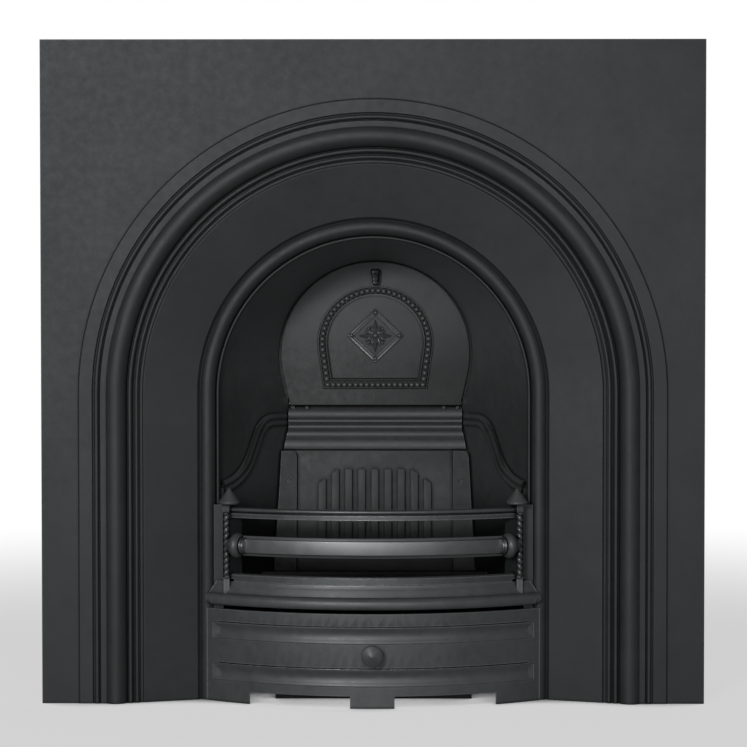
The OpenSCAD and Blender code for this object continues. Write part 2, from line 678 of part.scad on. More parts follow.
// ---------------------------------------------------------------- lintel
module on_lintel() {
    leaning(fireback_top_y, fireback_top_z, lintel_lean) children();
}
module throat_lintel() {
    // Feet of the reeds, from the top down, as shares of the face
    reeds = [0, 0.232, 0.362, 0.514, 0.714, 1];
    face_t = 8;
    color(iron) difference() {
        union() {
            intersection() {
                on_lintel() rotate([90, 0, 90]) translate([0, 0, -200]) linear_extrude(height = 400) union() {
                    translate([0, -face_t]) square([lintel_rise, face_t - 2]);
                    for (i = [0:len(reeds) - 2])
                        reed(lintel_rise * (1 - reeds[i + 1]), lintel_rise * (1 - reeds[i]));
                }
                on_lintel() translate([0, 0, -face_t - 1]) linear_extrude(height = face_t + 20) lintel_outline();
                between_cheeks();
            }
            // Back of the lintel, as wide as the cheeks leave room for
            intersection() {
                on_lintel() translate([-200, 0, -lintel_t]) cube([400, lintel_rise, lintel_t - face_t + 0.5]);
                between_cheeks();
            }
            both_sides() hinge_ears();
        }
        lintel_bolt_place() cylinder(h = cheek_t + seat + 9, r = bolt_r);
        both_sides() pin_place() cylinder(h = 2 * pin_len, r = hinge_pin_r + hinge_clear, center = true);
    }
}
module lintel_outline() {
    polygon([
        [-lintel_foot_w, 0], [lintel_foot_w, 0], [lintel_foot_w - 3, lintel_rise * 0.286],
        [lintel_top_w, lintel_rise * 0.486], [lintel_top_w, lintel_rise],
        [-lintel_top_w, lintel_rise], [-lintel_top_w, lintel_rise * 0.486], [-lintel_foot_w + 3, lintel_rise * 0.286]
    ]);
}
// Places of the lintel's bolts, in the back of the bridge, with Z towards the fire
module lintel_bolt_place() {
    for (side = [-1, 1]) on_lintel() translate([side * 70, lintel_rise - 28, bridge_z - cheek_t]) children();
}
// One convex reed between two heights on the leaning face
module reed(low, high) {
    chord = high - low;
    sag = 2.2;
    r = (chord * chord / 4 + sag * sag) / (2 * sag);
    intersection() {
        translate([(low + high) / 2, -2 + sag - r]) circle(r = r);
        translate([low, -4]) square([chord, 8]);
    }
}
// The space between the two cheeks
module between_cheeks() {
    linear_extrude(height = 600) polygon([
        [-half_w_at(lip_depth) + seat, lip_depth], [half_w_at(lip_depth) - seat, lip_depth],
        [half_w_at(back_y + 80) - seat, back_y + 80], [-half_w_at(back_y + 80) + seat, back_y + 80]
    ]);
}
// A frame on the door's plane with its origin at the middle of the door's foot
module on_door() {
    leaning(door_y, door_z, door_lean) children();
}
module pin_place() {
    on_door() translate([pin_x, pin_y, pin_z]) rotate([0, 90, 0]) children();
}
module hinge_ears() {
    ear_t = 5;
    for (x = [pin_x - knuckle_len / 2 - 1 - ear_t, pin_x + knuckle_len / 2 + 1])
        on_door() translate([x, 0, 0]) {
            translate([0, pin_y, pin_z]) rotate([0, 90, 0]) cylinder(h = ear_t, r = hinge_pin_r + 1.9);
            translate([0, pin_y - 14, pin_z - hinge_pin_r - 1.9]) cube([ear_t, 14, hinge_pin_r + 3]);
        }
}

// ---------------------------------------------------------------- damper
module bead_arch(inset) {
    translate([0, bead_foot_y + inset * 0.8]) polygon(horseshoe(bead_arch_r - inset, bead_foot_w - inset * 0.9,
        bead_arch_y - bead_foot_y - inset * 0.8));
}
module damper_door() {
    color(iron_light) on_door() difference() {
        union() {
            translate([0, 0, -door_t]) linear_extrude(height = door_t)
                polygon(horseshoe(door_r, door_foot_w, door_rise));
            // Two rims with a row of beads between them
            translate([0, 0, -weld]) linear_extrude(height = bead_rim_h + weld) {
                difference() {
                    bead_arch(0);
                    bead_arch(bead_rim_w);
                }
                difference() {
                    bead_arch(bead_rim_w + bead_channel_w);
                    bead_arch(2 * bead_rim_w + bead_channel_w);
                }
            }
            bead_row(bead_rim_w + bead_channel_w / 2);
            translate([0, lozenge_y, 0]) lozenge();
            // Knuckles of the hinge
            both_half() translate([pin_x, pin_y, pin_z]) rotate([0, 90, 0])
                cylinder(h = knuckle_len, r = hinge_pin_r + 2, center = true);
            both_half() translate([pin_x - knuckle_len / 2, pin_y, pin_z])
                cube([knuckle_len, hinge_pin_r + 2, -pin_z - 1]);
        }
        both_half() translate([pin_x, pin_y, pin_z]) rotate([0, 90, 0])
            cylinder(h = 2 * knuckle_len, r = hinge_pin_r + hinge_clear, center = true);
    }
}
module both_half() {
    children();
    mirror([1, 0, 0]) children();
}
// A row of half-sunk beads along the foot, up both sides and round the arch
module bead_row(inset) {
    r = bead_arch_r - inset;
    w = bead_foot_w - inset * 0.9;
    rise = bead_arch_y - bead_foot_y - inset * 0.8;
    foot_y = bead_foot_y + inset * 0.8;
    low = tangent_at(r, w, rise);
    side_end = [r * cos(low), rise + r * sin(low)];
    side_len = norm(side_end - [w, 0]);
    foot_n = round(2 * w / bead_foot_pitch);
    side_n = round(side_len / bead_pitch);
    arc_n = round(r * (180 - 2 * low) * PI / 180 / bead_pitch);
    translate([0, foot_y, 0]) {
        for (i = [0:foot_n]) translate([-w + 2 * w * i / foot_n, 0, 0]) bead();
        for (side = [-1, 1], i = [1:side_n]) let (p = mix_of([w, 0], side_end, i / side_n))
            translate([side * p[0], p[1], 0]) bead();
        for (i = [1:arc_n - 1]) let (a = low + (180 - 2 * low) * i / arc_n)
            translate([r * cos(a), rise + r * sin(a), 0]) bead();
    }
}
module bead() {
    difference() {
        sphere(r = bead_r);
        translate([-bead_r - 1, -bead_r - 1, -2 * bead_r - 1]) cube([2 * bead_r + 2, 2 * bead_r + 2, 2 * bead_r]);
    }
}
// Rosette: two lozenge borders, four petals, eight leaves between them and five bosses
module lozenge_shape(inset) {
    k = 1 - inset / lozenge_w;
    polygon([[lozenge_w * k, 0], [0, lozenge_h * k], [-lozenge_w * k, 0], [0, -lozenge_h * k]]);
}
module lozenge() {
    border = 5.6;
    corner_r = 3.6;
    translate([0, 0, -weld]) linear_extrude(height = 2.4 + weld) difference() {
        lozenge_shape(0);
        lozenge_shape(border);
    }
    translate([0, 0, -weld]) linear_extrude(height = 1.3 + weld) difference() {
        lozenge_shape(border + 1.6);
        lozenge_shape(border + 3.4);
    }
    for (a = [0:90:270]) rotate([0, 0, a]) {
        translate([0, 0, -weld]) linear_extrude(height = 2.6 + weld) petal(24.5, 5.6);
        for (side = [-1, 1]) rotate([0, 0, 45 + side * 18]) translate([2, 0, -weld])
            linear_extrude(height = 1.7 + weld) petal(17, 5.2);
    }
    for (side = [-1, 1]) {
        translate([side * (lozenge_w - 7.5), 0, 1.6]) sphere(r = corner_r);
        translate([0, side * (lozenge_h - 7.5), 1.6]) sphere(r = corner_r);
    }
    translate([0, 0, 1.6]) sphere(r = 4.9);
}
// A pointed petal along X, made of two arcs
module petal(length, width) {
    r = (length * length / 4 + width * width / 4) / width;
    intersection() {
        translate([length / 2, width / 2 - r]) circle(r = r);
        translate([length / 2, r - width / 2]) circle(r = r);
    }
}
// A square head on a stem, with a tongue that hangs down before the door and ends in a round tip
module damper_hook() {
    tip_v = 188;
    tip_r = hook_w / 2 - 1;
    stem_t = 8;
    tongue_t = 5;
    crown = 3;
    crown_r = (hook_w * hook_w / 4 + crown * crown) / (2 * crown);
    color(iron_light) on_door() translate([0, tip_v, 0]) intersection() {
        rotate([90, 0, 90]) linear_extrude(height = hook_w, center = true) {
            translate([hook_h - stem_t - 1, 0]) square([stem_t + 1, hook_out - 1]);
            translate([0, hook_out - tongue_t]) square([hook_h, tongue_t]);
        }
        linear_extrude(height = hook_out + 1) {
            translate([0, tip_r]) circle(r = tip_r);
            polygon([[-tip_r, tip_r], [tip_r, tip_r], [hook_w / 2, hook_h], [-hook_w / 2, hook_h]]);
        }
        // Rounded front
        translate([0, hook_h / 2, hook_out - crown_r]) rotate([90, 0, 0])
            cylinder(h = hook_h, r = crown_r, center = true);
    }
}
module damper_hinge_pins() {
    color(zinc) both_sides() pin_place() {
        cylinder(h = pin_len, r = hinge_pin_r, center = true);
        translate([0, 0, -pin_len / 2 - 2]) cylinder(h = 2, r = hinge_pin_r + 1.4);
    }
}

// ---------------------------------------------------------------- fireback
module on_fireback() {
    leaning(fireback_foot_y, 0, fireback_lean) children();
}
function up_back(z) = z / cos(fireback_lean);
module fireback() {
    foot = up_back(ledge_z - 12);
    top = up_back(fireback_top_z) - 1.6;
    color(iron) intersection() {
        between_cheeks();
        on_fireback() fireback_plate(foot, top);
    }
}
module fireback_plate(foot, top) {
    difference() {
        union() {
            translate([-200, foot, -fireback_t]) cube([400, top - foot, fireback_t]);
            for (i = [0:rib_n - 1]) let (k = i - (rib_n - 1) / 2, outer = abs(k) > (rib_n - 3) / 2 ? 1 : 0,
                sloped = abs(k) > (rib_n - 5) / 2 ? sign(k) : 0)
                translate([k * rib_pitch, 0, -weld]) linear_extrude(height = rib_h + weld)
                    back_rib(up_back(rib_foot_z), up_back(rib_top_z - outer * rib_step), sloped);
        }
        for (side = [-1, 1]) translate([side * screw_x, screw_v, -30]) cylinder(h = 40, r = screw_r + bolt_gap);
    }
}
screw_r = 2.5;
screw_x = face_half_w + strip_w * 0.36;
screw_v = up_back(312);
// One upright rib, with its outer top corner cut when it stands at the side of the row
module back_rib(low, high, sloped) {
    half = rib_w / 2;
    cut = 2;
    slope = 7;
    polygon([
        [-half, low], [half, low],
        [half, high - (sloped > 0 ? slope : cut)], [half - (sloped > 0 ? rib_w - cut : cut), high],
        [-half + (sloped < 0 ? rib_w - cut : cut), high], [-half, high - (sloped < 0 ? slope : cut)]
    ]);
}
strip_t = 6;
// Both strips are cast from one pattern, so the round corner is on the same hand of each
module back_strip(side) {
    foot = up_back(ledge_z - 4);
    top = up_back(fireback_top_z) - 2;
    top_w = half_w_at(fireback_top_y) - 0.8;
    foot_w = half_w_at(back_y) - 3;
    corner = 9;
    inner = face_half_w;
    low_x = side < 0 ? -foot_w : inner;
    high_x = side < 0 ? -inner : foot_w;
    high_top_x = side < 0 ? -inner : top_w;
    difference() {
        translate([0, 0, seat]) linear_extrude(height = strip_t) {
            intersection() {
                polygon([[low_x, foot], [high_x, foot], [high_top_x, top], [side < 0 ? -top_w : inner, top]]);
                union() {
                    translate([-200, foot - 1]) square([400, top - corner - foot + 1]);
                    translate([high_top_x - corner - 200, foot]) square([200, top - foot]);
                    translate([high_top_x - corner, top - corner]) circle(r = corner);
                }
            }
        }
        translate([side * screw_x, screw_v, -1]) cylinder(h = 20, r = screw_r + bolt_gap);
        translate([side * screw_x, screw_v, strip_t + seat - 2.4]) cylinder(h = 10, r = screw_r + 1.4);
    }
}
module left_back_strip() {
    color(iron) on_fireback() back_strip(-1);
}
module right_back_strip() {
    color(iron) on_fireback() back_strip(1);
}
module strip_screw_place() {
    on_fireback() translate([screw_x, screw_v, 0]) children();
}
module strip_screws() {
    screw_len = fireback_t + cheek_t + 8 + strip_t - 1.4;
    color(iron_dark) both_sides() strip_screw_place() {
        translate([0, 0, -fireback_t - cheek_t - 8]) cylinder(h = screw_len, r = screw_r);
        translate([0, 0, strip_t - 2 + seat / 2]) cylinder(h = 1.8, r = screw_r + 1.2);
    }
}
module strip_nuts() {
    color(zinc) both_sides() strip_screw_place() translate([0, 0, -fireback_t - cheek_t - 5])
        difference() {
            cylinder(h = 5, r = 5, $fn = 6);
            translate([0, 0, -1]) cylinder(h = 7, r = screw_r);
        }
}
// Ledge at the back: it carries the fireback's foot and the back of the grate
module rear_ledge() {
    wall_y = back_y - 2;
    color(iron_dark) difference() {
        union() {
            intersection() {
                union() {
                    translate([-beyond / 2, wall_y - 4, 0]) cube([beyond, cheek_t, ledge_z - 13]);
                    translate([-beyond / 2, rear_lip_y, ledge_z - 8]) cube([beyond, 16, 8]);
                    translate([-beyond / 2, rear_lip_y, ledge_z - 20]) cube([beyond, wall_y - rear_lip_y, 7.4]);
                    translate([-beyond / 2, rear_lip_y, ledge_z - 20]) cube([beyond, 7, 20]);
                    translate([-beyond / 2, rear_lip_y - 14, grate_z - grate_t - 6 - seat]) cube([beyond, 16, 6]);
                }
                between_cheeks();
            }
            // Ears that bolt to the cheeks
            both_sides() intersection() {
                along_cheek() translate([foot_s - 44.4, seat, 0]) cube([44, ledge_ear_t, 100]);
                cube([300, back_y - 0.1, 300]);
            }
        }
        both_sides() ledge_bolt_place() cylinder(h = 30, r = bolt_r);
    }
}
module ledge_bolts() {
    color(zinc) both_sides() ledge_bolt_place() hex_bolt(cheek_t + 8);
}
module lintel_bolts() {
    color(zinc) lintel_bolt_place() {
        translate([0, 0, -bolt_head_h]) bolt_head();
        translate([0, 0, -1]) cylinder(h = cheek_t + 9, r = bolt_r);
    }
}
// A bolt whose head bears on the outer face of a cheek
module hex_bolt(length) {
    translate([0, 0, -cheek_t - bolt_head_h]) bolt_head();
    translate([0, 0, -cheek_t - 1]) cylinder(h = length + 1, r = bolt_r);
}
module hood_bolts() {
    color(zinc) hood_bolt_spots() plate_bolt();
}
module cheek_bolts() {
    color(zinc) cheek_bolt_spots() plate_bolt();
}
// A bolt through a flange into a boss of the front plate
module plate_bolt() {
    translate([0, 0, -lip_depth - cheek_t - bolt_head_h]) bolt_head();
    translate([0, 0, -lip_depth - cheek_t - 1]) cylinder(h = cheek_t + 12, r = bolt_r);
}
module bolt_head() {
    cylinder(h = bolt_head_h, r = bolt_head_r, $fn = 6);
}
module hood_rope_seal() {
    color(rope_white) {
        arch_ring() translate([seal_at, -lip_depth + rope_seal_r + 0.2]) circle(r = rope_seal_r);
        both_sides() arch_leg(spring_z) translate([seal_at, -lip_depth + rope_seal_r + 0.2]) circle(r = rope_seal_r);
    }
}

// ---------------------------------------------------------------- grate
module grate_outline() {
    intersection() {
        translate([0, bow_y]) circle(r = grate_r);
        polygon([
            [-grate_half_w, -beyond], [grate_half_w, -beyond], [grate_half_w, grate_shoulder_y],
            [grate_back_w, grate_back_y], [-grate_back_w, grate_back_y], [-grate_half_w, grate_shoulder_y]
        ]);
    }
}
module bottom_grate() {
    n = floor((grate_half_w - 48) / slot_pitch);
    color(iron_dark) translate([0, 0, grate_z - grate_t]) linear_extrude(height = grate_t) difference() {
        grate_outline();
        for (i = [-n:n]) translate([i * slot_pitch, 0]) grate_slot(bow_at(grate_r, abs(i) * slot_pitch) + 16,
            grate_back_y - 17);
    }
}
module grate_slot(low, high) {
    translate([-slot_w / 2, low]) square([slot_w, high - low]);
    for (y = [low, high]) translate([0, y]) circle(r = slot_w / 2);
}

// ---------------------------------------------------------------- bow-fronted pieces
// Turns a section, X outwards from the bow's centre and Y up, through the arc that spans a half-width
module bowed(r, half_w) {
    a = asin(half_w / r);
    translate([0, bow_y, 0]) rotate([0, 0, -90 - a]) rotate_extrude(angle = 2 * a) children();
}
module sill() {
    cave_r = 17;
    grate_seat_z = grate_z - grate_t - seat;
    color(iron) difference() {
        union() {
            intersection() {
                bowed(nose_out_r, sill_half_w) sill_section(cave_r, grate_seat_z);
                sill_reach();
            }
            // Ledge for the front of the grate
            bowed(sill_back_r, grate_half_w - 8) translate([sill_back_r - grate_ledge_w, grate_seat_z - 6])
                square([grate_ledge_w + weld, 6]);
            // Pads under the end posts
            both_sides() translate([post_x - post_w, post_y, nose_z + 4])
                cube([post_w - 1, 19, post_foot_z - nose_z - 4]);
            // Lugs that bolt to the jamb strips
            both_sides() translate([arch_r - jamb_in - jamb_gap - sill_lug_w, sill_bolt_y - 10, nose_z - 7])
                cube([sill_lug_w, 19, 15]);
        }
        both_sides() sill_bolt_place() cylinder(h = 40, r = bolt_r + bolt_gap, center = true);
    }
}
module sill_section(cave_r, grate_seat_z) {
    translate([nose_out_r - nose_r, nose_z]) circle(r = nose_r);
    difference() {
        polygon([
            [sill_back_r, sill_top_z], [bow_r - 1.8, sill_top_z], [nose_out_r - nose_r, nose_z + nose_r],
            [nose_out_r - nose_r, nose_z - nose_r], [sill_back_r + 4, nose_z - nose_r],
            [sill_back_r - 5, nose_z - 2], [sill_back_r - 5, grate_seat_z], [sill_back_r, grate_seat_z]
        ]);
        translate([bow_r - 1.8 + cave_r, sill_top_z + 1]) circle(r = cave_r);
    }
}
// The sill passes through the opening between the jamb strips and stops before the moulding beside them
module sill_reach() {
    half = arch_r - jamb_in - jamb_gap;
    translate([-half, -beyond, 0]) cube([2 * half, 2 * beyond, beyond]);
    translate([-beyond, -beyond, 0]) cube([2 * beyond, beyond + splay_set + splay_depth - 0.5, beyond]);
}
// Place of the sill's bolt in the right jamb strip, with Z out of the strip's side
module sill_bolt_place() {
    translate([arch_r - jamb_in, sill_bolt_y, nose_z]) rotate([0, 90, 0]) children();
}
module sill_bolts() {
    color(zinc) both_sides() sill_bolt_place() {
        translate([0, 0, -sill_lug_w - jamb_gap - bolt_head_h]) bolt_head();
        translate([0, 0, -sill_lug_w - 1]) cylinder(h = sill_lug_w + 1 + 7, r = bolt_r);
    }
}
module top_rail() {
    color(iron_light) difference() {
        bowed(bow_r, post_x - post_w) {
            translate([bow_r - 5, top_rail_z - 3.1]) circle(r = 3.1);
            translate([bow_r - 11, top_rail_z - 6.2]) square([6, 6.2]);
            translate([bow_r - 11, top_rail_z - 15]) square([6, 10]);
            translate([bow_r - 6, top_rail_z - 14.8]) square([3.2, 6.6]);
        }
        both_sides() post_space();
    }
}
module bottom_rail() {
    color(iron) difference() {
        bowed(bow_r, post_x - post_w) {
            translate([bow_r - 11, sill_top_z + seat]) square([9.5, bottom_rail_z - sill_top_z - 1.5 - seat]);
            translate([bow_r - 6.2, bottom_rail_z - 1.8]) circle(r = 1.8);
            translate([bow_r - 11, bottom_rail_z - 1.8]) square([4.8, 1.8]);
            translate([bow_r - 2.6, bottom_rail_z - 2.6]) circle(r = 1.1);
        }
        both_sides() post_space();
        both_sides() translate([post_x - 16.4, 0, 0]) cube([20, 60, post_foot_z + seat]);
    }
}
// The room that the right-hand post takes up
module post_space() {
    linear_extrude(height = 400) post_plan();
}
// Place of a knuckle at the mid rail's right-hand end, with Z along the rail towards the post
module knuckle_place() {
    a = asin(mid_rail_end_x / rail_mid_r);
    translate([0, bow_y, mid_rail_z]) rotate([0, 0, a - 90]) translate([rail_mid_r - 3, 0, 0])
        rotate([-90, 0, 0]) children();
}
module mid_rail() {
    half = mid_rail_h / 2;
    color(polished) difference() {
        union() {
            bowed(rail_mid_r, mid_rail_end_x) translate([0, mid_rail_z]) polygon([
                [rail_mid_r - 9, -half + 2], [rail_mid_r - 9, half - 2], [rail_mid_r - 7, half],
                [rail_mid_r - 4.5, half], [rail_mid_r - 3, half - 3], [rail_mid_r - 2.4, half - 3.8],
                [rail_mid_r - 1, half - 4], [rail_mid_r, half - 5.3], [rail_mid_r, -half + 5.3],
                [rail_mid_r - 1, -half + 4], [rail_mid_r - 2.4, -half + 3.8], [rail_mid_r - 3, -half + 3],
                [rail_mid_r - 4.5, -half], [rail_mid_r - 7, -half]
            ]);
            both_sides() knuckle_place() rotate_extrude() knuckle_section();
        }
        both_sides() post_space();
        both_sides() translate([post_x - post_w, -50, 0]) cube([50, 100, 400]);
    }
}
// Section of a knuckle: a polished collar and a round boss that runs into the post
module knuckle_section() {
    boss_z = 11;
    polygon([[0, -4], [10.6, -4], [11.8, -2.6], [11.8, 2.2], [10.8, 3.6], [9.4, 4.4], [0, 4.4]]);
    difference() {
        translate([0, boss_z]) scale([1, 0.62]) circle(r = knuckle_r);
        translate([-40, -10]) square([40, 60]);
    }
    // Cone from the boss to the post
    polygon([[0, boss_z], [knuckle_r - 4, boss_z + 3], [7, boss_z + 14], [0, boss_z + 14]]);
}

// ---------------------------------------------------------------- end posts
// Plan of the right-hand post: a front strip, a splayed web and a side wall that hangs on the peg
module post_plan() {
    polygon([
        [post_x - post_w, post_y - 1], [post_x, post_y - 1], [post_x, post_y + 7], [post_x - 4.5, post_y + 7],
        [post_x - post_w + 0.5, post_y + 7], [post_x - 20.5, post_y + 30], [post_x - 26, post_y + 30],
        [post_x - 26, post_y + 26], [post_x - post_w, post_y + 2]
    ]);
}
module bar_post() {
    difference() {
        union() {
            translate([0, 0, post_foot_z]) linear_extrude(height = post_top_z - post_foot_z) difference() {
                post_plan();
                translate([rope_x, rope_y - 0.3]) circle(r = rope_r + 0.15);
            }
            translate([0, 0, post_foot_z]) linear_extrude(height = rope_low_z - post_foot_z) post_plan();
            translate([0, 0, post_top_z - cap_t]) linear_extrude(height = cap_t) post_plan();
            // Wall with the hook that hangs on the peg
            translate([post_x - 6, post_y + 4, peg_z - 18]) cube([4, peg_y + 10 - post_y - 4, 36]);
        }
        translate([post_x - 10, peg_y, peg_z + 0.4]) rotate([0, 90, 0]) cylinder(h = 20, r = peg_r + 0.4);
        translate([post_x - 10, peg_y - peg_r - 0.4, peg_z - 40]) cube([20, 2 * peg_r + 0.8, 40.4]);
    }
}
module right_bar_post() {
    color(iron) bar_post();
}
module left_bar_post() {
    color(iron) mirror([1, 0, 0]) bar_post();
}
// One thick strand wound round a core, with a sharp groove between its turns
module rope_column() {
    length = post_top_z - cap_t - rope_low_z - 0.2;
    turns = length / rope_lead;
    groove = 1.2;
    section = [for (a = [0:24:336]) (rope_r - groove * (1 - abs(sin(a / 2)))) * [cos(a), sin(a)]];
    translate([rope_x, rope_y - 0.3, rope_low_z + 0.1])
        linear_extrude(height = length, twist = 360 * turns, slices = round(10 * turns), $fn = 12)
            polygon(section);
}
module right_rope_column() {
    color(iron_light) rope_column();
}
module left_rope_column() {
    color(iron_light) mirror([1, 0, 0]) rope_column();
}
// A cone with a rounded foot
module finial() {
    translate([finial_x, finial_y, post_top_z]) rotate_extrude() polygon([
        [0, 0], [finial_r - 4, 0], [finial_r - 1.2, 1.2], [finial_r, 3.2], [finial_r - 0.9, 5],
        [1.6, finial_h - 0.9], [0, finial_h]
    ]);
}
module right_finial() {
    color(iron_light) finial();
}
module left_finial() {
    color(iron_light) mirror([1, 0, 0]) finial();
}
module bar_pegs() {
    color(zinc) both_sides() peg_place() {
        translate([0, 0, -8]) cylinder(h = 14, r = peg_r);
        translate([0, 0, -10.5]) cylinder(h = 2.5, r = peg_r + 2);
    }
}

// ---------------------------------------------------------------- ash cover
module ash_cover() {
    color(iron) difference() {
        union() {
            difference() {
                bowed(cover_r, cover_half_w) translate([cover_r - cover_t, 0]) square([cover_t, cover_h]);
                for (z = [flute_low_z, flute_high_z]) bowed(cover_r, cover_half_w - 10) flute_section(z);
            }
            both_sides() for (z = [flute_low_z, flute_high_z]) flute_end(z);
        }
        translate([-beyond, splay_set + splay_depth - 0.5, -1]) cube([2 * beyond, beyond, beyond]);
        both_sides() cover_notch();
        knob_place() cylinder(h = 40, r = 3.2, center = true);
    }
}
// A shallow hollow with a small step at its upper and lower edge
module flute_section(z) {
    half = flute_h / 2;
    r = (half * half + flute_d * flute_d) / (2 * flute_d) * 0.9;
    translate([cover_r - 0.8, z - half]) square([2, flute_h]);
    intersection() {
        translate([cover_r - flute_d + r, z]) circle(r = r);
        translate([cover_r - flute_d - 1, z - half + 1.2]) square([flute_d + 3, flute_h - 2.4]);
    }
}
// Wedge that closes the flute with a slanted facet near the end of the cover
module flute_end(z) {
    a = asin((cover_half_w - 10) / cover_r);
    length = 12;
    translate([0, bow_y, z - flute_h / 2 - 0.1]) rotate([0, 0, a - 90]) translate([cover_r, 0, 0])
        linear_extrude(height = flute_h + 0.2) polygon([
            [-0.1, 0.3], [-flute_d - 1.2, -length], [-cover_t + 0.6, -length], [-cover_t + 0.6, 0.3]
        ]);
}
module cover_notch() {
    translate([foot_half_w, -100, -1]) cube([notch_half_w - foot_half_w, 200, notch_h + 1]);
}
// On the cover's face at mid-width, with Z towards the viewer
module knob_place() {
    translate([0, bow_y - cover_r, knob_z]) rotate([90, 0, 0]) children();
}
module ash_cover_knob() {
    color(iron_light) knob_place() {
        translate([0, 0, seat]) rotate_extrude() polygon([
            [0, 0], [9, 0], [9, 2], [6, 5], [6, 9], [10, 13], [knob_r, 16.5], [knob_r, 19],
            [knob_r - 1.5, 20.5], [1.5, knob_out - seat], [0, knob_out - seat]
        ]);
        translate([0, 0, -cover_t - 9]) cylinder(h = cover_t + 9 + 1, r = 3);
    }
}
module knob_nut() {
    color(zinc) knob_place() translate([0, 0, -cover_t - 5.4]) difference() {
        cylinder(h = 5, r = 5.8, $fn = 6);
        translate([0, 0, -1]) cylinder(h = 7, r = 3);
    }
}

// ---------------------------------------------------------------- ash pan
module ash_pan() {
    color(steel_sheet) {
        difference() {
            translate([-pan_w / 2, pan_front_y, 0]) cube([pan_w, pan_d, pan_h]);
            translate([-pan_w / 2 + pan_t, pan_front_y + pan_t, pan_t])
                cube([pan_w - 2 * pan_t, pan_d - 2 * pan_t, pan_h]);
        }
        // Folded lip to pull the pan by
        translate([-pan_w / 4, pan_front_y - 8, pan_h - pan_t]) cube([pan_w / 2, 8 + pan_t, pan_t]);
    }
}

front_plate();
hood();
left_cheek();
right_cheek();
throat_lintel();
damper_door();
damper_hook();
damper_hinge_pins();
fireback();
left_back_strip();
right_back_strip();
strip_screws();
strip_nuts();
rear_ledge();
ledge_bolts();
bottom_grate();
sill();
sill_bolts();
bar_pegs();
left_bar_post();
right_bar_post();
left_rope_column();
right_rope_column();
left_finial();
right_finial();
top_rail();
mid_rail();
bottom_rail();
ash_cover();
ash_cover_knob();
knob_nut();
ash_pan();
hood_bolts();
cheek_bolts();
lintel_bolts();
hood_rope_seal();
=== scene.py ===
"""Looks of the cast iron arched fireplace insert, laid out as an add-on and run as a script."""

import json
import math

import bpy
from bpy.props import FloatProperty, FloatVectorProperty, PointerProperty
from mathutils import Matrix, Vector

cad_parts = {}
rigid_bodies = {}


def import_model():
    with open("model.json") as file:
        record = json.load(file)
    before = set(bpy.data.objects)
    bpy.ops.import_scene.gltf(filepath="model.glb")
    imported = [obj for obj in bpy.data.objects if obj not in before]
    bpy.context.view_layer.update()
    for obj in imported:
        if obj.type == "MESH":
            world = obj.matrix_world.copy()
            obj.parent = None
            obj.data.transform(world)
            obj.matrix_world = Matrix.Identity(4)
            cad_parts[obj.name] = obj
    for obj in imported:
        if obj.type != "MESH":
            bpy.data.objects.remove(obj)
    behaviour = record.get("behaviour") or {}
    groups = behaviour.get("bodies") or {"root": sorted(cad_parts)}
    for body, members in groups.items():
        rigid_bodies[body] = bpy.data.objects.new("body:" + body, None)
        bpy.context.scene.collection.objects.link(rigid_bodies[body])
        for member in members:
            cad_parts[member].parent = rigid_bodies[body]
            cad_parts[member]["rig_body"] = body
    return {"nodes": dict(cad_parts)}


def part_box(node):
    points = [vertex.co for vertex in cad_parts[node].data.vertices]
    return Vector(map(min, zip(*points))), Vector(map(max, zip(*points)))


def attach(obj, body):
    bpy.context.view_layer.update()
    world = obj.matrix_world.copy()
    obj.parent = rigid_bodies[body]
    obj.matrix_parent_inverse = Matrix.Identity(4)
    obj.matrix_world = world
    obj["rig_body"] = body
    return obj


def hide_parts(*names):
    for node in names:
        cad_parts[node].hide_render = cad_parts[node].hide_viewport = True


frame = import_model()

bl_info = {
    "name": "Cast iron fireplace insert",
    "version": (1, 0, 0),
    "blender": (4, 5, 0),
    "location": "3D View > Sidebar > Fireplace",
    "description": "Dresses the castings, bars, damper and ash cover of an arched fireplace insert",
    "category": "Object",
}

MM = 0.001

# The rails, the sill, the grate and the ash cover are bowed round one upright axis. These are its Y and
# the radius from which their own radii are counted, in millimetres
BOW_Y = 399.8
BOW_R = 437.8


# ---------- colours and materials
def linear_colour(hex_text):
    """Turns an sRGB hex colour into the linear values that the shaders use."""
    parts = [int(hex_text[i:i + 2], 16) / 255 for i in (1, 3, 5)]
    return tuple(c / 12.92 if c <= 0.04045 else ((c + 0.055) / 1.055) ** 2.4 for c in parts)


def toned(colour, share=1.0):
    """A colour as a socket takes it, made darker or lighter by a share."""
    return (*(min(1.0, c * share) for c in colour), 1.0)


def add_node(tree, kind, fields=None, sockets=None):
    """Adds a node, sets its fields, and sets or links its input sockets."""
    node = tree.nodes.new("ShaderNode" + kind)
    for name, value in (fields or {}).items():
        setattr(node, name, value)
    for name, value in (sockets or {}).items():
        if isinstance(value, bpy.types.NodeSocket):
            tree.links.new(value, node.inputs[name])
        else:
            node.inputs[name].default_value = value
    return node


def new_material(name):
    material = bpy.data.materials.new(name)
    material.use_nodes = True
    material.node_tree.nodes.clear()
    return material, material.node_tree


# A Mix node's numbered sockets for colours, and the part of a noise's range that nearly all of it lies in
COLOUR_MIX = {"data_type": "RGBA"}
FACTOR, FIRST, SECOND, MIXED = 0, 6, 7, 2
NOISE_SPREAD = {"From Min": 0.3, "From Max": 0.7}


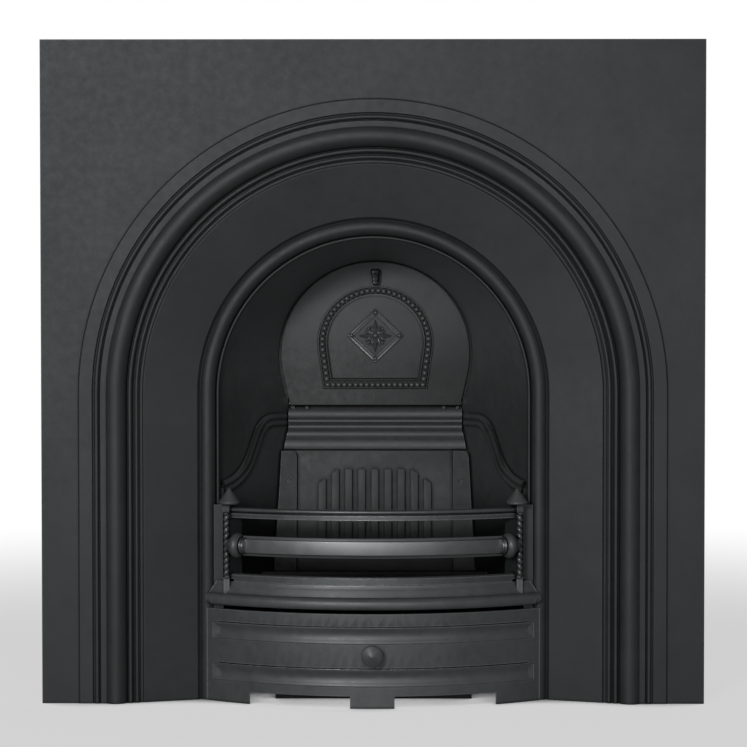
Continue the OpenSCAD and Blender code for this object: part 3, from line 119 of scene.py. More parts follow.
def sand_cast_iron(name, tones, metallic, rough, grain_mm, grain_depth_mm,
                   corner_shade_mm=5.0, corner_shade_left=0.25, rub=0.5, lower_shade=None, shaded_front_faces=False):
    """Grey iron cast in sand and brushed with black grate polish: a fine grain from the sand,
    a cloudy graphite sheen that is duller in patches, and a slow waviness of the cast skin.
    Painted shade darkens the corners, where the polish also lies thick, and the brush rubs the arrises
    bright.
    The iron can be darkened towards the bottom, from one height down to a lower one, to a share, and where
    it faces the room: painted shade."""
    cloud_mm, mottle_mm, wave_mm, wave_depth_mm, arris_mm = 111.11, 13.333, 33.333, 0.25, 1.8
    cloud_share, mottle_share, rubbed_gain, rubbed_shine = 0.6, 0.4, 2.6, 0.3
    dark, light = tones
    material, tree = new_material(name)
    coordinates = add_node(tree, "TexCoord").outputs
    place = coordinates["Object"]
    clouds = add_node(tree, "TexNoise", None,
                      {"Vector": place, "Scale": 1 / (cloud_mm * MM), "Detail": 4.0, "Roughness": 0.6})
    mottle = add_node(tree, "TexNoise", None,
                      {"Vector": place, "Scale": 1 / (mottle_mm * MM), "Detail": 3.0, "Roughness": 0.65})
    cloudy = add_node(tree, "Math", {"operation": "MULTIPLY"},
                      {0: clouds.outputs[0], 1: cloud_share})
    blend = add_node(tree, "Math", {"operation": "MULTIPLY_ADD"},
                     {0: mottle.outputs[0], 1: mottle_share, 2: cloudy.outputs[0]})
    tone = add_node(tree, "MapRange", None, {**NOISE_SPREAD, "Value": blend.outputs[0]})
    brushed = add_node(tree, "Mix", COLOUR_MIX,
                       {FACTOR: tone.outputs[0], FIRST: toned(dark), SECOND: toned(light)})

    # Painted shade in the corners, by how enclosed they are, where the polish also lies thick
    corner = add_node(tree, "AmbientOcclusion", {"samples": 4}, {"Distance": corner_shade_mm * MM})
    unshaded_corners = add_node(tree, "MapRange", None,
                     {"Value": corner.outputs["AO"], "From Min": 0.5, "From Max": 0.95,
                      "To Min": corner_shade_left, "To Max": 1.0})
    share = unshaded_corners.outputs[0]
    # Painted shade, darker towards the bottom from one height down to a lower one; smoke is its share at
    # each height
    if lower_shade:
        unshaded_above_mm, darkest_at_mm, darkest_share = lower_shade
        height = add_node(tree, "SeparateXYZ", None, {0: place}).outputs["Z"]
        smoke = add_node(tree, "MapRange", {"interpolation_type": "SMOOTHSTEP"},
                         {"Value": height, "From Min": darkest_at_mm * MM, "From Max": unshaded_above_mm * MM,
                          "To Min": darkest_share, "To Max": 1.0})
        share = add_node(tree, "Math", {"operation": "MULTIPLY"},
                         {0: share, 1: smoke.outputs[0]}).outputs[0]
    facing = add_node(tree, "SeparateXYZ", None, {0: coordinates["Normal"]}).outputs["Y"]
    if shaded_front_faces:
        # Faces that turn to the room, such as the cut-off ends inside the hood, get painted shade, the
        # darker the more squarely they face it
        ends = add_node(tree, "MapRange", None,
                        {"Value": facing, "From Min": -0.66, "From Max": -0.82,
                         "To Min": 1.0, "To Max": 0.15})
        share = add_node(tree, "Math", {"operation": "MULTIPLY"},
                         {0: share, 1: ends.outputs[0]}).outputs[0]

    # Arrises, of which the brush reaches only what faces the room
    arris = add_node(tree, "AmbientOcclusion", {"samples": 4, "inside": True, "only_local": True},
                     {"Distance": arris_mm * MM})
    worn = add_node(tree, "MapRange", None,
                    {"Value": arris.outputs["AO"], "From Min": 0.95, "From Max": 0.5,
                     "To Min": 0.0, "To Max": rub})
    reached = add_node(tree, "MapRange", None,
                       {"Value": facing, "From Min": -0.2, "From Max": -0.6})
    rubbed = add_node(tree, "Math", {"operation": "MULTIPLY"},
                      {0: worn.outputs[0], 1: reached.outputs[0]})
    polished = add_node(tree, "Mix", COLOUR_MIX,
                        {FACTOR: rubbed.outputs[0], FIRST: brushed.outputs[MIXED],
                         SECOND: toned(light, rubbed_gain)})
    colour = add_node(tree, "VectorMath", {"operation": "SCALE"},
                      {0: polished.outputs[MIXED], "Scale": share})
    dull = add_node(tree, "MapRange", None,
                    {**NOISE_SPREAD, "Value": mottle.outputs[0], "To Min": rough[0], "To Max": rough[1]})
    roughness = add_node(tree, "Math", {"operation": "MULTIPLY_ADD"},
                         {0: rubbed.outputs[0], 1: -rubbed_shine, 2: dull.outputs[0]})

    skin = add_node(tree, "TexNoise", None,
                    {"Vector": place, "Scale": 1 / (wave_mm * MM), "Detail": 1.0})
    grain = add_node(tree, "TexNoise", None,
                     {"Vector": place, "Scale": 1 / (grain_mm * MM), "Detail": 3.0, "Roughness": 0.7})
    coarse = add_node(tree, "Bump", None,
                      {"Height": skin.outputs[0], "Strength": 1.0, "Distance": wave_depth_mm * MM})
    fine = add_node(tree, "Bump", None,
                    {"Height": grain.outputs[0], "Strength": 1.0, "Distance": grain_depth_mm * MM,
                     "Normal": coarse.outputs[0]})
    shader = add_node(tree, "BsdfPrincipled", None,
                      {"Base Color": colour.outputs[0], "Metallic": metallic,
                       "Roughness": roughness.outputs[0], "Normal": fine.outputs[0]})
    add_node(tree, "OutputMaterial", None, {"Surface": shader.outputs[0]})
    return material


def plain_finish(name, colour, shares, metallic, rough, pattern, pattern_mm, depth_mm,
                 stain_mm, stain_detail):
    """A finish with a fine pattern in low relief, and stains that shift its tone and its sheen.
    The pattern's size is given across, in depth and up, and the tones are shares of the colour."""
    material, tree = new_material(name)
    place = add_node(tree, "TexCoord").outputs["Object"]
    scaled = add_node(tree, "Mapping", None,
                      {"Vector": place, "Scale": [1 / (size * MM) for size in pattern_mm]})
    texture, sockets = pattern
    fine = add_node(tree, texture, None, {**sockets, "Vector": scaled.outputs[0], "Scale": 1.0})
    stain = add_node(tree, "TexNoise", None,
                     {"Vector": place, "Scale": 1 / (stain_mm * MM), "Detail": stain_detail})
    tone = add_node(tree, "MapRange", None, {**NOISE_SPREAD, "Value": stain.outputs[0]})
    mixed = add_node(tree, "Mix", COLOUR_MIX,
                     {FACTOR: tone.outputs[0], FIRST: toned(colour, shares[0]),
                      SECOND: toned(colour, shares[1])})
    dull = add_node(tree, "MapRange", None,
                    {**NOISE_SPREAD, "Value": stain.outputs[0], "To Min": rough[0], "To Max": rough[1]})
    bump = add_node(tree, "Bump", None,
                    {"Height": fine.outputs[0], "Strength": 1.0, "Distance": depth_mm * MM})
    shader = add_node(tree, "BsdfPrincipled", None,
                      {"Base Color": mixed.outputs[MIXED], "Metallic": metallic,
                       "Roughness": dull.outputs[0], "Normal": bump.outputs[0]})
    add_node(tree, "OutputMaterial", None, {"Surface": shader.outputs[0]})
    return material


# ---------- colours and sizes in the sidebar
def colour_choice(name, description, hex_text):
    """A colour that the sidebar shows."""
    return FloatVectorProperty(name=name, description=description, default=linear_colour(hex_text),
                               subtype="COLOR", min=0.0, max=1.0, size=3)


class FireplaceFinishes(bpy.types.PropertyGroup):
    """Colours of the finishes"""

    polish_dark: colour_choice("Grate polish, dark", "Darker tone of the blacked iron", "#3b3e3f")
    polish_light: colour_choice("Grate polish, light", "Lighter tone of the blacked iron", "#474a4b")
    # The soot in these descriptions is painted shade that darkens the damper and the hood towards the bottom
    rubbed_dark: colour_choice(
        "Rubbed iron, dark", "Darker tone of the bars, sill and ash cover, and of the damper and hood "
        "before the soot", "#5a5d5e")
    rubbed_light: colour_choice(
        "Rubbed iron, light", "Lighter tone of the bars, sill and ash cover, and of the damper and hood "
        "before the soot", "#6a6d6e")
    smoke_dark: colour_choice(
        "Cheeks and lintel, dark", "Darker tone of the iron that the smoke passes", "#4b4e4f")
    smoke_light: colour_choice(
        "Cheeks and lintel, light", "Lighter tone of the iron that the smoke passes", "#595c5d")
    fire_dark: colour_choice("Fire side, dark", "Darker tone of the iron round the fire", "#313435")
    fire_light: colour_choice("Fire side, light", "Lighter tone of the iron round the fire", "#3d4041")
    bright: colour_choice("Bright iron", "Colour of the polished rail", "#8c8e8f")
    zinc: colour_choice("Zinc plate", "Colour of the bolts and nuts", "#9a9c9b")
    rope: colour_choice("Rope seal", "Colour of the glass-fibre rope before it is smoked", "#d8d4c6")
    sheet: colour_choice("Pan paint", "Colour of the ash pan's paint", "#3a3d3f")


class FireplaceBars(bpy.types.PropertyGroup):
    """Sizes of the bars"""

    rope_lead: FloatProperty(
        name="Rope lead", description="Rise of the rope's strand in one turn",
        default=8.86 * MM, unit="LENGTH", min=0.005, max=0.02)


class FireplaceDamper(bpy.types.PropertyGroup):
    """Sizes of the damper's ornament"""

    bead_radius: FloatProperty(
        name="Bead radius", description="Radius of one bead in the arch on the door",
        default=4.2 * MM, unit="LENGTH", min=0.002, max=0.005)


class FireplaceStage(bpy.types.PropertyGroup):
    """Camera and lights"""

    camera_distance: FloatProperty(
        name="Camera distance", description="From the plate's face to the camera",
        default=3.1, unit="LENGTH", min=1.0, max=10.0)
    lens: FloatProperty(
        name="Lens", description="Focal length in millimetres",
        default=102.9, unit="CAMERA", min=20.0, max=200.0)
    light: FloatProperty(
        name="Studio light", description="Share of the plain light level",
        default=1.0, subtype="FACTOR", min=0.2, max=2.0)


FINISH = {}


def mix_finishes(finishes):
    """Makes each finish once, from the colours in the sidebar."""
    polish = finishes.polish_dark, finishes.polish_light
    rubbed = finishes.rubbed_dark, finishes.rubbed_light
    smoke = finishes.smoke_dark, finishes.smoke_light
    fire = finishes.fire_dark, finishes.fire_light
    FINISH["blacked_iron"] = sand_cast_iron(
        "Blacked sand-cast iron", polish, metallic=0.5, rough=(0.5, 0.6), grain_mm=1.6, grain_depth_mm=0.12)
    FINISH["post_iron"] = sand_cast_iron(
        "Blacked iron posts", polish, metallic=0.5, rough=(0.42, 0.52), grain_mm=1.6, grain_depth_mm=0.1,
        corner_shade_mm=6.0, corner_shade_left=0.1, rub=0.35)
    FINISH["bar_iron"] = sand_cast_iron(
        "Rubbed iron bars", rubbed, metallic=0.6, rough=(0.34, 0.44), grain_mm=1.6, grain_depth_mm=0.1,
        corner_shade_left=0.03, rub=0.9)
    FINISH["handled_iron"] = sand_cast_iron(
        "Rubbed blacked iron", rubbed, metallic=0.45, rough=(0.38, 0.5), grain_mm=1.6, grain_depth_mm=0.12,
        corner_shade_left=0.1, rub=0.6)
    FINISH["reeded_iron"] = sand_cast_iron(
        "Reeded cast iron", smoke, metallic=0.5, rough=(0.46, 0.56), grain_mm=1.8, grain_depth_mm=0.2,
        corner_shade_left=0.05)
    FINISH["fire_iron"] = sand_cast_iron(
        "Fire-side cast iron", fire, metallic=0.4, rough=(0.5, 0.62), grain_mm=1.8, grain_depth_mm=0.16,
        corner_shade_left=0.02, lower_shade=(280, 205, 0.1))
    FINISH["door_iron"] = sand_cast_iron(
        "Rough sand-cast iron", rubbed, metallic=0.5, rough=(0.46, 0.56), grain_mm=2.0, grain_depth_mm=0.22,
        corner_shade_mm=3.5, corner_shade_left=0.1, rub=0.0, lower_shade=(630, 460, 0.27))
    FINISH["relief_iron"] = sand_cast_iron(
        "Rubbed relief work", rubbed, metallic=0.3, rough=(0.3, 0.38), grain_mm=2.0, grain_depth_mm=0.04,
        corner_shade_mm=2.0, corner_shade_left=0.3, rub=0.0)
    FINISH["hook_iron"] = sand_cast_iron(
        "Handled cast iron", fire, metallic=0.9, rough=(0.2, 0.3), grain_mm=2.0, grain_depth_mm=0.05,
        corner_shade_mm=3.0, rub=0.0)
    FINISH["back_iron"] = sand_cast_iron(
        "Cast iron fireback", polish, metallic=0.4, rough=(0.46, 0.6), grain_mm=1.8, grain_depth_mm=0.3,
        corner_shade_mm=6.5, corner_shade_left=0.0, rub=0.0, lower_shade=(285, 205, 0.1))
    FINISH["hood_iron"] = sand_cast_iron(
        "Smooth cast iron hood", rubbed, metallic=0.2, rough=(0.5, 0.62), grain_mm=2.0, grain_depth_mm=0.1,
        rub=0.0, lower_shade=(560, 400, 0.4), shaded_front_faces=True)
    FINISH["cheek_iron"] = sand_cast_iron(
        "Cast iron cheeks", smoke, metallic=0.4, rough=(0.5, 0.62), grain_mm=2.0, grain_depth_mm=0.1,
        rub=0.0, lower_shade=(330, 220, 0.1), shaded_front_faces=True)
    # Ground on a belt and polished: long fine scratches and a clear sheen
    FINISH["bright_iron"] = plain_finish(
        "Polished cast iron", finishes.bright, (0.88, 1.0), metallic=1.0, rough=(0.38, 0.44),
        pattern=("TexNoise", {"Detail": 4.0, "Roughness": 0.7}),
        pattern_mm=(33.333, 33.333, 0.66667), depth_mm=0.01, stain_mm=22.222, stain_detail=4.0)
    # As bolts are sold: pale grey with a faint spangle and a satin sheen
    FINISH["zinc_steel"] = plain_finish(
        "Zinc-plated steel", finishes.zinc, (0.7, 1.0), metallic=1.0, rough=(0.3, 0.45),
        pattern=("TexVoronoi", {}), pattern_mm=(1.6667,) * 3, depth_mm=0.02,
        stain_mm=8.3333, stain_detail=3.0)
    # Knitted rope pressed into its groove: dull, with a fine knit, smoked nearly black by the fire
    FINISH["rope"] = plain_finish(
        "Glass-fibre rope", finishes.rope, (0.05, 0.09), metallic=0.0, rough=(0.95, 0.95),
        pattern=("TexVoronoi", {}), pattern_mm=(1.4286,) * 3, depth_mm=0.3,
        stain_mm=16.667, stain_detail=4.0)
    # Pressed sheet with heat-proof black paint: an even fine texture and a low sheen
    FINISH["pan_sheet"] = plain_finish(
        "Painted steel sheet", finishes.sheet, (0.7, 1.0), metallic=0.0, rough=(0.6, 0.6),
        pattern=("TexNoise", {"Detail": 2.0}), pattern_mm=(1.4286,) * 3, depth_mm=0.05,
        stain_mm=40.0, stain_detail=5.0)


# ---------- modelling helpers
def select_only(piece):
    if bpy.context.mode != "OBJECT":
        bpy.ops.object.mode_set(mode="OBJECT")
    bpy.ops.object.select_all(action="DESELECT")
    piece.select_set(True)
    bpy.context.view_layer.objects.active = piece


def apply_modifier(piece, kind, **settings):
    """Adds a modifier with its settings and applies it."""
    select_only(piece)
    bpy.ops.object.modifier_add(type=kind)
    modifier = piece.modifiers[-1]
    for name, value in settings.items():
        setattr(modifier, name, value)
    bpy.ops.object.modifier_apply(modifier=modifier.name)


def body_of(node):
    return frame["nodes"][node]["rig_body"]


def hand_over(piece, nodes, finish):
    """Gives a finished piece its finish and its body, and hides the nodes that it stands for."""
    piece.data.materials.clear()
    piece.data.materials.append(FINISH[finish])
    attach(piece, body_of(nodes[0]))
    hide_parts(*nodes)


def edit(piece):
    select_only(piece)
    bpy.ops.object.mode_set(mode="EDIT")
    bpy.ops.mesh.select_all(action="SELECT")


def finish_edit(merge_mm=0.005):
    """Merges doubles and turns the faces outwards."""
    bpy.ops.mesh.select_all(action="SELECT")
    bpy.ops.mesh.remove_doubles(threshold=merge_mm * MM)
    bpy.ops.mesh.normals_make_consistent(inside=False)
    bpy.ops.object.mode_set(mode="OBJECT")


def smooth(piece, degrees):
    select_only(piece)
    bpy.ops.object.shade_smooth_by_angle(angle=math.radians(degrees))


def even_shading(piece):
    """Bends the normals of the broken edges, so that the flat faces between them look flat."""
    apply_modifier(piece, "WEIGHTED_NORMAL", keep_sharp=True, weight=60)


def remove(piece):
    select_only(piece)
    bpy.ops.object.delete()


def copy_of(node):
    """A copy of a node's mesh with its triangles merged into whole faces."""
    select_only(frame["nodes"][node])
    bpy.ops.object.duplicate()
    piece = bpy.context.view_layer.objects.active
    for key in [k for k in piece.keys() if k.startswith("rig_")]:
        del piece[key]
    piece.parent = None
    piece.name = node + "_casting"
    select_only(piece)
    bpy.ops.mesh.customdata_custom_splitnormals_clear()
    edit(piece)
    bpy.ops.mesh.remove_doubles(threshold=0.02 * MM)
    bpy.ops.mesh.dissolve_limited(angle_limit=math.radians(0.4))
    bpy.ops.object.mode_set(mode="OBJECT")
    return piece


def grown_mm(piece, node):
    """How far a piece reaches outside its node's box."""
    low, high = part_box(node)
    return max(max(low[i] - v.co[i], v.co[i] - high[i]) for v in piece.data.vertices for i in range(3)) / MM


def round_casting(node, radius_mm, finish):
    """Gives the node the rounded arrises that a casting or a pressed part has."""
    sharp, spike_mm = 32, 0.1
    # The bevel is held back by its neighbours only where it would spike without that
    for held_back in (False, True):
        piece = copy_of(node)
        smooth(piece, sharp)
        apply_modifier(piece, "BEVEL", width=radius_mm * MM, segments=2, limit_method="ANGLE",
                       angle_limit=math.radians(sharp), use_clamp_overlap=held_back, miter_outer="MITER_ARC")
        if grown_mm(piece, node) < spike_mm:
            break
        if held_back:
            raise RuntimeError(node + " can't be rounded by its radius")
        remove(piece)
    bpy.ops.object.shade_smooth_by_angle(angle=math.radians(50))
    even_shading(piece)
    hand_over(piece, [node], finish)


def outline(name, points, fill="NOTHING"):
    """A closed outline in millimetres, started as a circle with one vertex for each point."""
    bpy.ops.object.select_all(action="DESELECT")
    bpy.ops.mesh.primitive_circle_add(vertices=len(points), radius=1.0, fill_type=fill)
    piece = bpy.context.object
    piece.name = name
    for vertex, point in zip(piece.data.vertices, points):
        vertex.co = Vector(point) * MM
    return piece


def filled(name, points, height_mm):
    """A filled outline that faces up, left in edit mode."""
    piece = outline(name, [(x, y, height_mm) for x, y in points], "NGON")
    piece.data.update()
    edit(piece)
    if piece.data.polygons[0].normal.z < 0:
        bpy.ops.mesh.flip_normals()
    return piece


def slab(name, points, low_mm, high_mm, bevel_mm=0.0):
    """An outline drawn up from one height to another, with its edges broken."""
    piece = filled(name, points, low_mm)
    rise = (0.0, 0.0, (high_mm - low_mm) * MM)
    bpy.ops.mesh.extrude_region_move(TRANSFORM_OT_translate={"value": rise})
    finish_edit(0.001)
    if bevel_mm:
        apply_modifier(piece, "BEVEL", width=bevel_mm * MM, segments=3, limit_method="ANGLE",
                       angle_limit=math.radians(28))
    return piece


def raised_work(name, points, steps):
    """A face with mouldings round its edge, each step an inset in millimetres with its rise."""
    sunk_mm, wall_mm = 0.8, 0.02
    piece = filled(name, points, -sunk_mm)
    bpy.ops.mesh.extrude_region_move(TRANSFORM_OT_translate={"value": (0.0, 0.0, wall_mm * MM)})
    for width, rise in steps:
        bpy.ops.mesh.inset(thickness=width * MM, depth=rise * MM, use_even_offset=True)
    finish_edit(0.001)
    return piece


def turned(name, profile):
    """A piece turned about Z from a profile of radius and height in millimetres, both ends on the axis."""
    piece = outline(name, [(r, 0.0, z) for r, z in profile])
    edit(piece)
    bpy.ops.mesh.select_mode(type="EDGE")
    bpy.ops.mesh.select_all(action="DESELECT")
    bpy.ops.object.mode_set(mode="OBJECT")
    axis_ends = {0, len(profile) - 1}
    for edge in piece.data.edges:
        edge.select = set(edge.vertices) == axis_ends
    bpy.ops.object.mode_set(mode="EDIT")
    bpy.ops.mesh.delete(type="EDGE")
    bpy.ops.mesh.select_mode(type="VERT")
    bpy.ops.mesh.select_all(action="SELECT")
    bpy.ops.mesh.spin(steps=56, angle=math.tau, center=(0, 0, 0), axis=(0, 0, 1), use_auto_merge=True)
    finish_edit()
    return piece


def bowed(name, section, half_w):
    """A section of radius and height in millimetres, bent round the bow over a half-width."""
    radius = max(r for r, z in section)
    half_angle = math.asin(half_w / radius)
    start = -math.pi / 2 + half_angle
    piece = outline(name, [(r * math.cos(start), BOW_Y + r * math.sin(start), z) for r, z in section])
    edit(piece)
    bpy.ops.mesh.spin(steps=64, angle=2 * half_angle, center=(0, BOW_Y * MM, 0), axis=(0, 0, 1))
    bpy.ops.mesh.select_all(action="SELECT")
    bpy.ops.mesh.fill_holes(sides=0)
    finish_edit()
    if min(v.co.y for v in piece.data.vertices) > (BOW_Y - radius + 1.0) * MM:
        raise RuntimeError(name + " was bent the wrong way")
    return piece


def place(piece, matrix):
    """Moves a finished mesh to its place; its object stays at the origin."""
    piece.data.transform(matrix)
    if matrix.determinant() < 0:
        edit(piece)
        finish_edit(0.001)
    return piece


def copies(piece, places):
    """One copy of a piece, each with its own mesh, at each of the places; the first is taken away."""
    made = []
    for matrix in places:
        select_only(piece)
        bpy.ops.object.duplicate()
        made.append(place(bpy.context.object, matrix))
    remove(piece)
    return made


def joined(name, pieces):
    select_only(pieces[0])
    for piece in pieces:
        piece.select_set(True)
    bpy.ops.object.join()
    pieces[0].name = name
    pieces[0].data.name = name
    return pieces[0]


def cut_out(piece, tools):
    """Cuts all the tools out of a piece and takes them away."""
    tool = joined("cutting_tool", tools)
    apply_modifier(piece, "BOOLEAN", object=tool, operation="DIFFERENCE", solver="EXACT")
    remove(tool)


def rod(radius, length, at, **turn):
    """A round rod in millimetres, about its middle."""
    bpy.ops.object.select_all(action="DESELECT")
    bpy.ops.mesh.primitive_cylinder_add(vertices=32, radius=radius * MM, depth=length * MM,
                                        location=[c * MM for c in at], **turn)
    bpy.ops.object.transform_apply(location=True, rotation=True, scale=True)
    return bpy.context.object


def sized(at, size):
    """The matrix that brings a piece of one metre to a size and a place in millimetres."""
    return Matrix.Translation(Vector(at) * MM) @ Matrix.Diagonal((*(c * MM for c in size), 1))


def leaning(y, z, degrees):
    """A frame with X across, Y up a leaning plane and Z out of its front, from millimetres."""
    lean = math.radians(degrees)
    return Matrix(((1, 0, 0, 0), (0, math.sin(lean), -math.cos(lean), y * MM),
                   (0, math.cos(lean), math.sin(lean), z * MM), (0, 0, 0, 1)))


def moved(x, y, z=0.0, turn=0.0):
    return Matrix.Translation(Vector((x, y, z)) * MM) @ Matrix.Rotation(math.radians(turn), 4, "Z")


def arc(x, y, r, start, end, steps):
    """Points of an arc about a centre, its angles in degrees."""
    angles = [math.radians(start + (end - start) * i / steps) for i in range(steps + 1)]
    return [(x + r * math.cos(a), y + r * math.sin(a)) for a in angles]


# ---------- castings that only need their edges
class CastingStep:
    """Rounds the arrises of like pieces by a radius in millimetres, or with 0 gives only the finish"""

    castings = {}

    def execute(self, context):
        for node, (radius, finish) in self.castings.items():
            if radius:
                round_casting(node, radius, finish)
            for slot in frame["nodes"][node].material_slots:
                slot.material = FINISH[finish]
        return {"FINISHED"}


class OBJECT_OT_front_plate(CastingStep, bpy.types.Operator):
    """Rounds the arrises of the front plate's arch moulding and edges"""

    bl_idname = "object.fireplace_front_plate"
    bl_label = "Front plate"
    castings = {"front_plate": (0.5, "blacked_iron")}


class OBJECT_OT_smoke_castings(CastingStep, bpy.types.Operator):
    """Finishes the hood and the cheeks"""

    bl_idname = "object.fireplace_smoke_castings"
    bl_label = "Hood and cheeks"
    castings = {"hood": (0, "hood_iron"), "left_cheek": (0, "cheek_iron"), "right_cheek": (0, "cheek_iron")}


class OBJECT_OT_back_castings(CastingStep, bpy.types.Operator):
    """Rounds the reeded lintel, the fireback's strips and the rear ledge"""

    bl_idname = "object.fireplace_back_castings"
    bl_label = "Lintel, strips and ledge"
    castings = {"throat_lintel": (0.4, "reeded_iron"), "left_back_strip": (0.7, "fire_iron"),
                "right_back_strip": (0.7, "fire_iron"), "rear_ledge": (0.7, "fire_iron")}


class OBJECT_OT_bar_castings(CastingStep, bpy.types.Operator):
    """Rounds the sill, the posts, the finials and the plain rails"""

    bl_idname = "object.fireplace_bar_castings"
    bl_label = "Sill, posts and rails"
    castings = {"sill": (0.5, "handled_iron"), "left_bar_post": (0.5, "post_iron"),
                "right_bar_post": (0.5, "post_iron"), "left_finial": (0.5, "handled_iron"),
                "right_finial": (0.5, "handled_iron"), "top_rail": (0.5, "bar_iron"),
                "bottom_rail": (0.4, "bar_iron")}


class OBJECT_OT_ash_castings(CastingStep, bpy.types.Operator):
    """Rounds the ash cover, its knob and the pan behind it"""

    bl_idname = "object.fireplace_ash_castings"
    bl_label = "Ash cover and pan"
    castings = {"ash_cover": (0.5, "handled_iron"), "ash_cover_knob": (0.4, "handled_iron"),
                "ash_pan": (0.3, "pan_sheet")}


class OBJECT_OT_fasteners(CastingStep, bpy.types.Operator):
    """Breaks the edges of the bolts, nuts, screws and pegs, and finishes the rope seal"""

    bl_idname = "object.fireplace_fasteners"
    bl_label = "Fasteners and seal"
    castings = {"strip_screws": (0.3, "fire_iron"), "strip_nuts": (0.3, "zinc_steel"),
                "ledge_bolts": (0.4, "zinc_steel"), "sill_bolts": (0.4, "zinc_steel"),
                "hood_bolts": (0.4, "zinc_steel"), "cheek_bolts": (0.4, "zinc_steel"),
                "lintel_bolts": (0.4, "zinc_steel"), "knob_nut": (0.3, "zinc_steel"),
                "bar_pegs": (0.4, "zinc_steel"), "damper_hinge_pins": (0.3, "zinc_steel"),
                "hood_rope_seal": (0, "rope")}


# ---------- edges of the cover and the sill, joints
class OBJECT_OT_cover_and_sill_edges(bpy.types.Operator):
    """Cuts the quirk over each flute of the ash cover and squares the sill's nose"""

    bl_idname = "object.fireplace_cover_and_sill_edges"
    bl_label = "Quirks and nose"

    def execute(self, context):
        face_r, deep, high, half_w, over_flutes = BOW_R + 5.8, 2.2, 1.5, 229.0, (56.4, 116.3)
        quirks = []
        for low in over_flutes:
            section = [(face_r - deep, low), (face_r + 1.0, low),
                       (face_r + 1.0, low + high), (face_r - deep, low + high)]
            quirks.append(bowed("quirk", section, half_w))
        cover = bpy.data.objects["ash_cover_casting"]
        cut_out(cover, quirks)
        smooth(cover, 34)
        even_shading(cover)

        front_r, half_w = BOW_R + 12.2, 238.0
        section = [(front_r - 9.0, 142.0), (front_r - 3.5, 142.1), (front_r - 1.0, 143.4),
                   (front_r - 0.1, 146.0), (front_r, 151.0), (front_r - 1.2, 154.8),
                   (front_r - 4.0, 157.6), (front_r - 9.0, 158.4)]
        nose = bowed("sill_nose", section, half_w)
        smooth(nose, 50)
        hand_over(nose, ["sill"], "handled_iron")
        return {"FINISHED"}


class OBJECT_OT_joint_cement(bpy.types.Operator):
    """Points the open corners of the hood's joints with fire cement"""

    bl_idname = "object.fireplace_joint_cement"
    bl_label = "Fire cement"

    def execute(self, context):
        # Each from the inside out, from the front back and from the foot up
        beside_cheek = (222.8, 229.0), (55.4, 61.0), (309.6, 314.0)
        beside_lintel = (132.4, 136.4), (193.5, 198.0), (438.0, 442.8)
        fillets = []
        for (inner, outer), (front, back), (low, high) in (beside_cheek, beside_lintel):
            for side in (-1, 1):
                corners_of_fillet = [(side * inner, front), (side * outer, front),
                                     (side * outer, back), (side * (inner + 1.0), back)]
                fillets.append(slab("fillet", corners_of_fillet[::side], low, high, 0.3))
        cement = joined("hood_joint_cement", fillets)
        smooth(cement, 40)
        hand_over(cement, ["front_plate"], "hood_iron")
        return {"FINISHED"}


# ---------- damper
# The door's own frame has its origin at the middle of its foot, on its front face
ON_DOOR = leaning(181.27, 428.4, 12.0)
DOOR_R, DOOR_FOOT_W, DOOR_CENTRE = 145.5, 131.0, 81.0
ARCH_R, ARCH_FOOT_W, ARCH_FOOT, ARCH_CENTRE = 90.0, 80.5, 25.0, 98.0
LOZENGE_W, LOZENGE_H, LOZENGE_MIDDLE = 44.4, 43.6, 108.4


def tangent_at(r, w, rise):
    """Angle at which a side from the foot's corner touches the round top."""
    return math.acos(r / math.hypot(w, rise)) - math.atan2(rise, w)


def horseshoe(r, w, rise, foot, steps):
    """A round top with straight sides down to a narrower foot."""
    low = tangent_at(r, w, rise)
    round_top = [low + (math.pi - 2 * low) * i / steps for i in range(steps + 1)]
    return [(-w, foot), (w, foot)] + [(r * math.cos(a), foot + rise + r * math.sin(a)) for a in round_top]


def bead_row(r, w, rise, foot, pitch):
    """Places of the beads along the foot, up both sides and round the arch."""
    low = tangent_at(r, w, rise)
    end = Vector((r * math.cos(low), rise + r * math.sin(low)))
    corner = Vector((w, 0.0))
    foot_n = round(2 * w / pitch)
    side_n = round((end - corner).length / pitch)
    arc_n = round(r * (math.pi - 2 * low) / pitch)
    spots = [(-w + 2 * w * i / foot_n, foot) for i in range(foot_n + 1)]
    for i in range(1, side_n + 1):
        at = corner.lerp(end, i / side_n)
        spots += [(at.x, foot + at.y), (-at.x, foot + at.y)]
    for i in range(1, arc_n):
        a = low + (math.pi - 2 * low) * i / arc_n
        spots.append((r * math.cos(a), foot + rise + r * math.sin(a)))
    return spots


def half_ball(name, radius, segments=16, rings=12, squash=1.0):
    """A ball cut off just under its middle."""
    bpy.ops.object.select_all(action="DESELECT")
    bpy.ops.mesh.primitive_uv_sphere_add(segments=segments, ring_count=rings, radius=radius * MM)
    piece = bpy.context.object
    piece.name = name
    edit(piece)
    bpy.ops.mesh.bisect(plane_co=(0, 0, -0.25 * radius * MM), plane_no=(0, 0, 1),
                        clear_inner=True, use_fill=True)
    finish_edit(0.001)
    piece.data.transform(Matrix.Diagonal((1, 1, squash, 1)))
    return piece


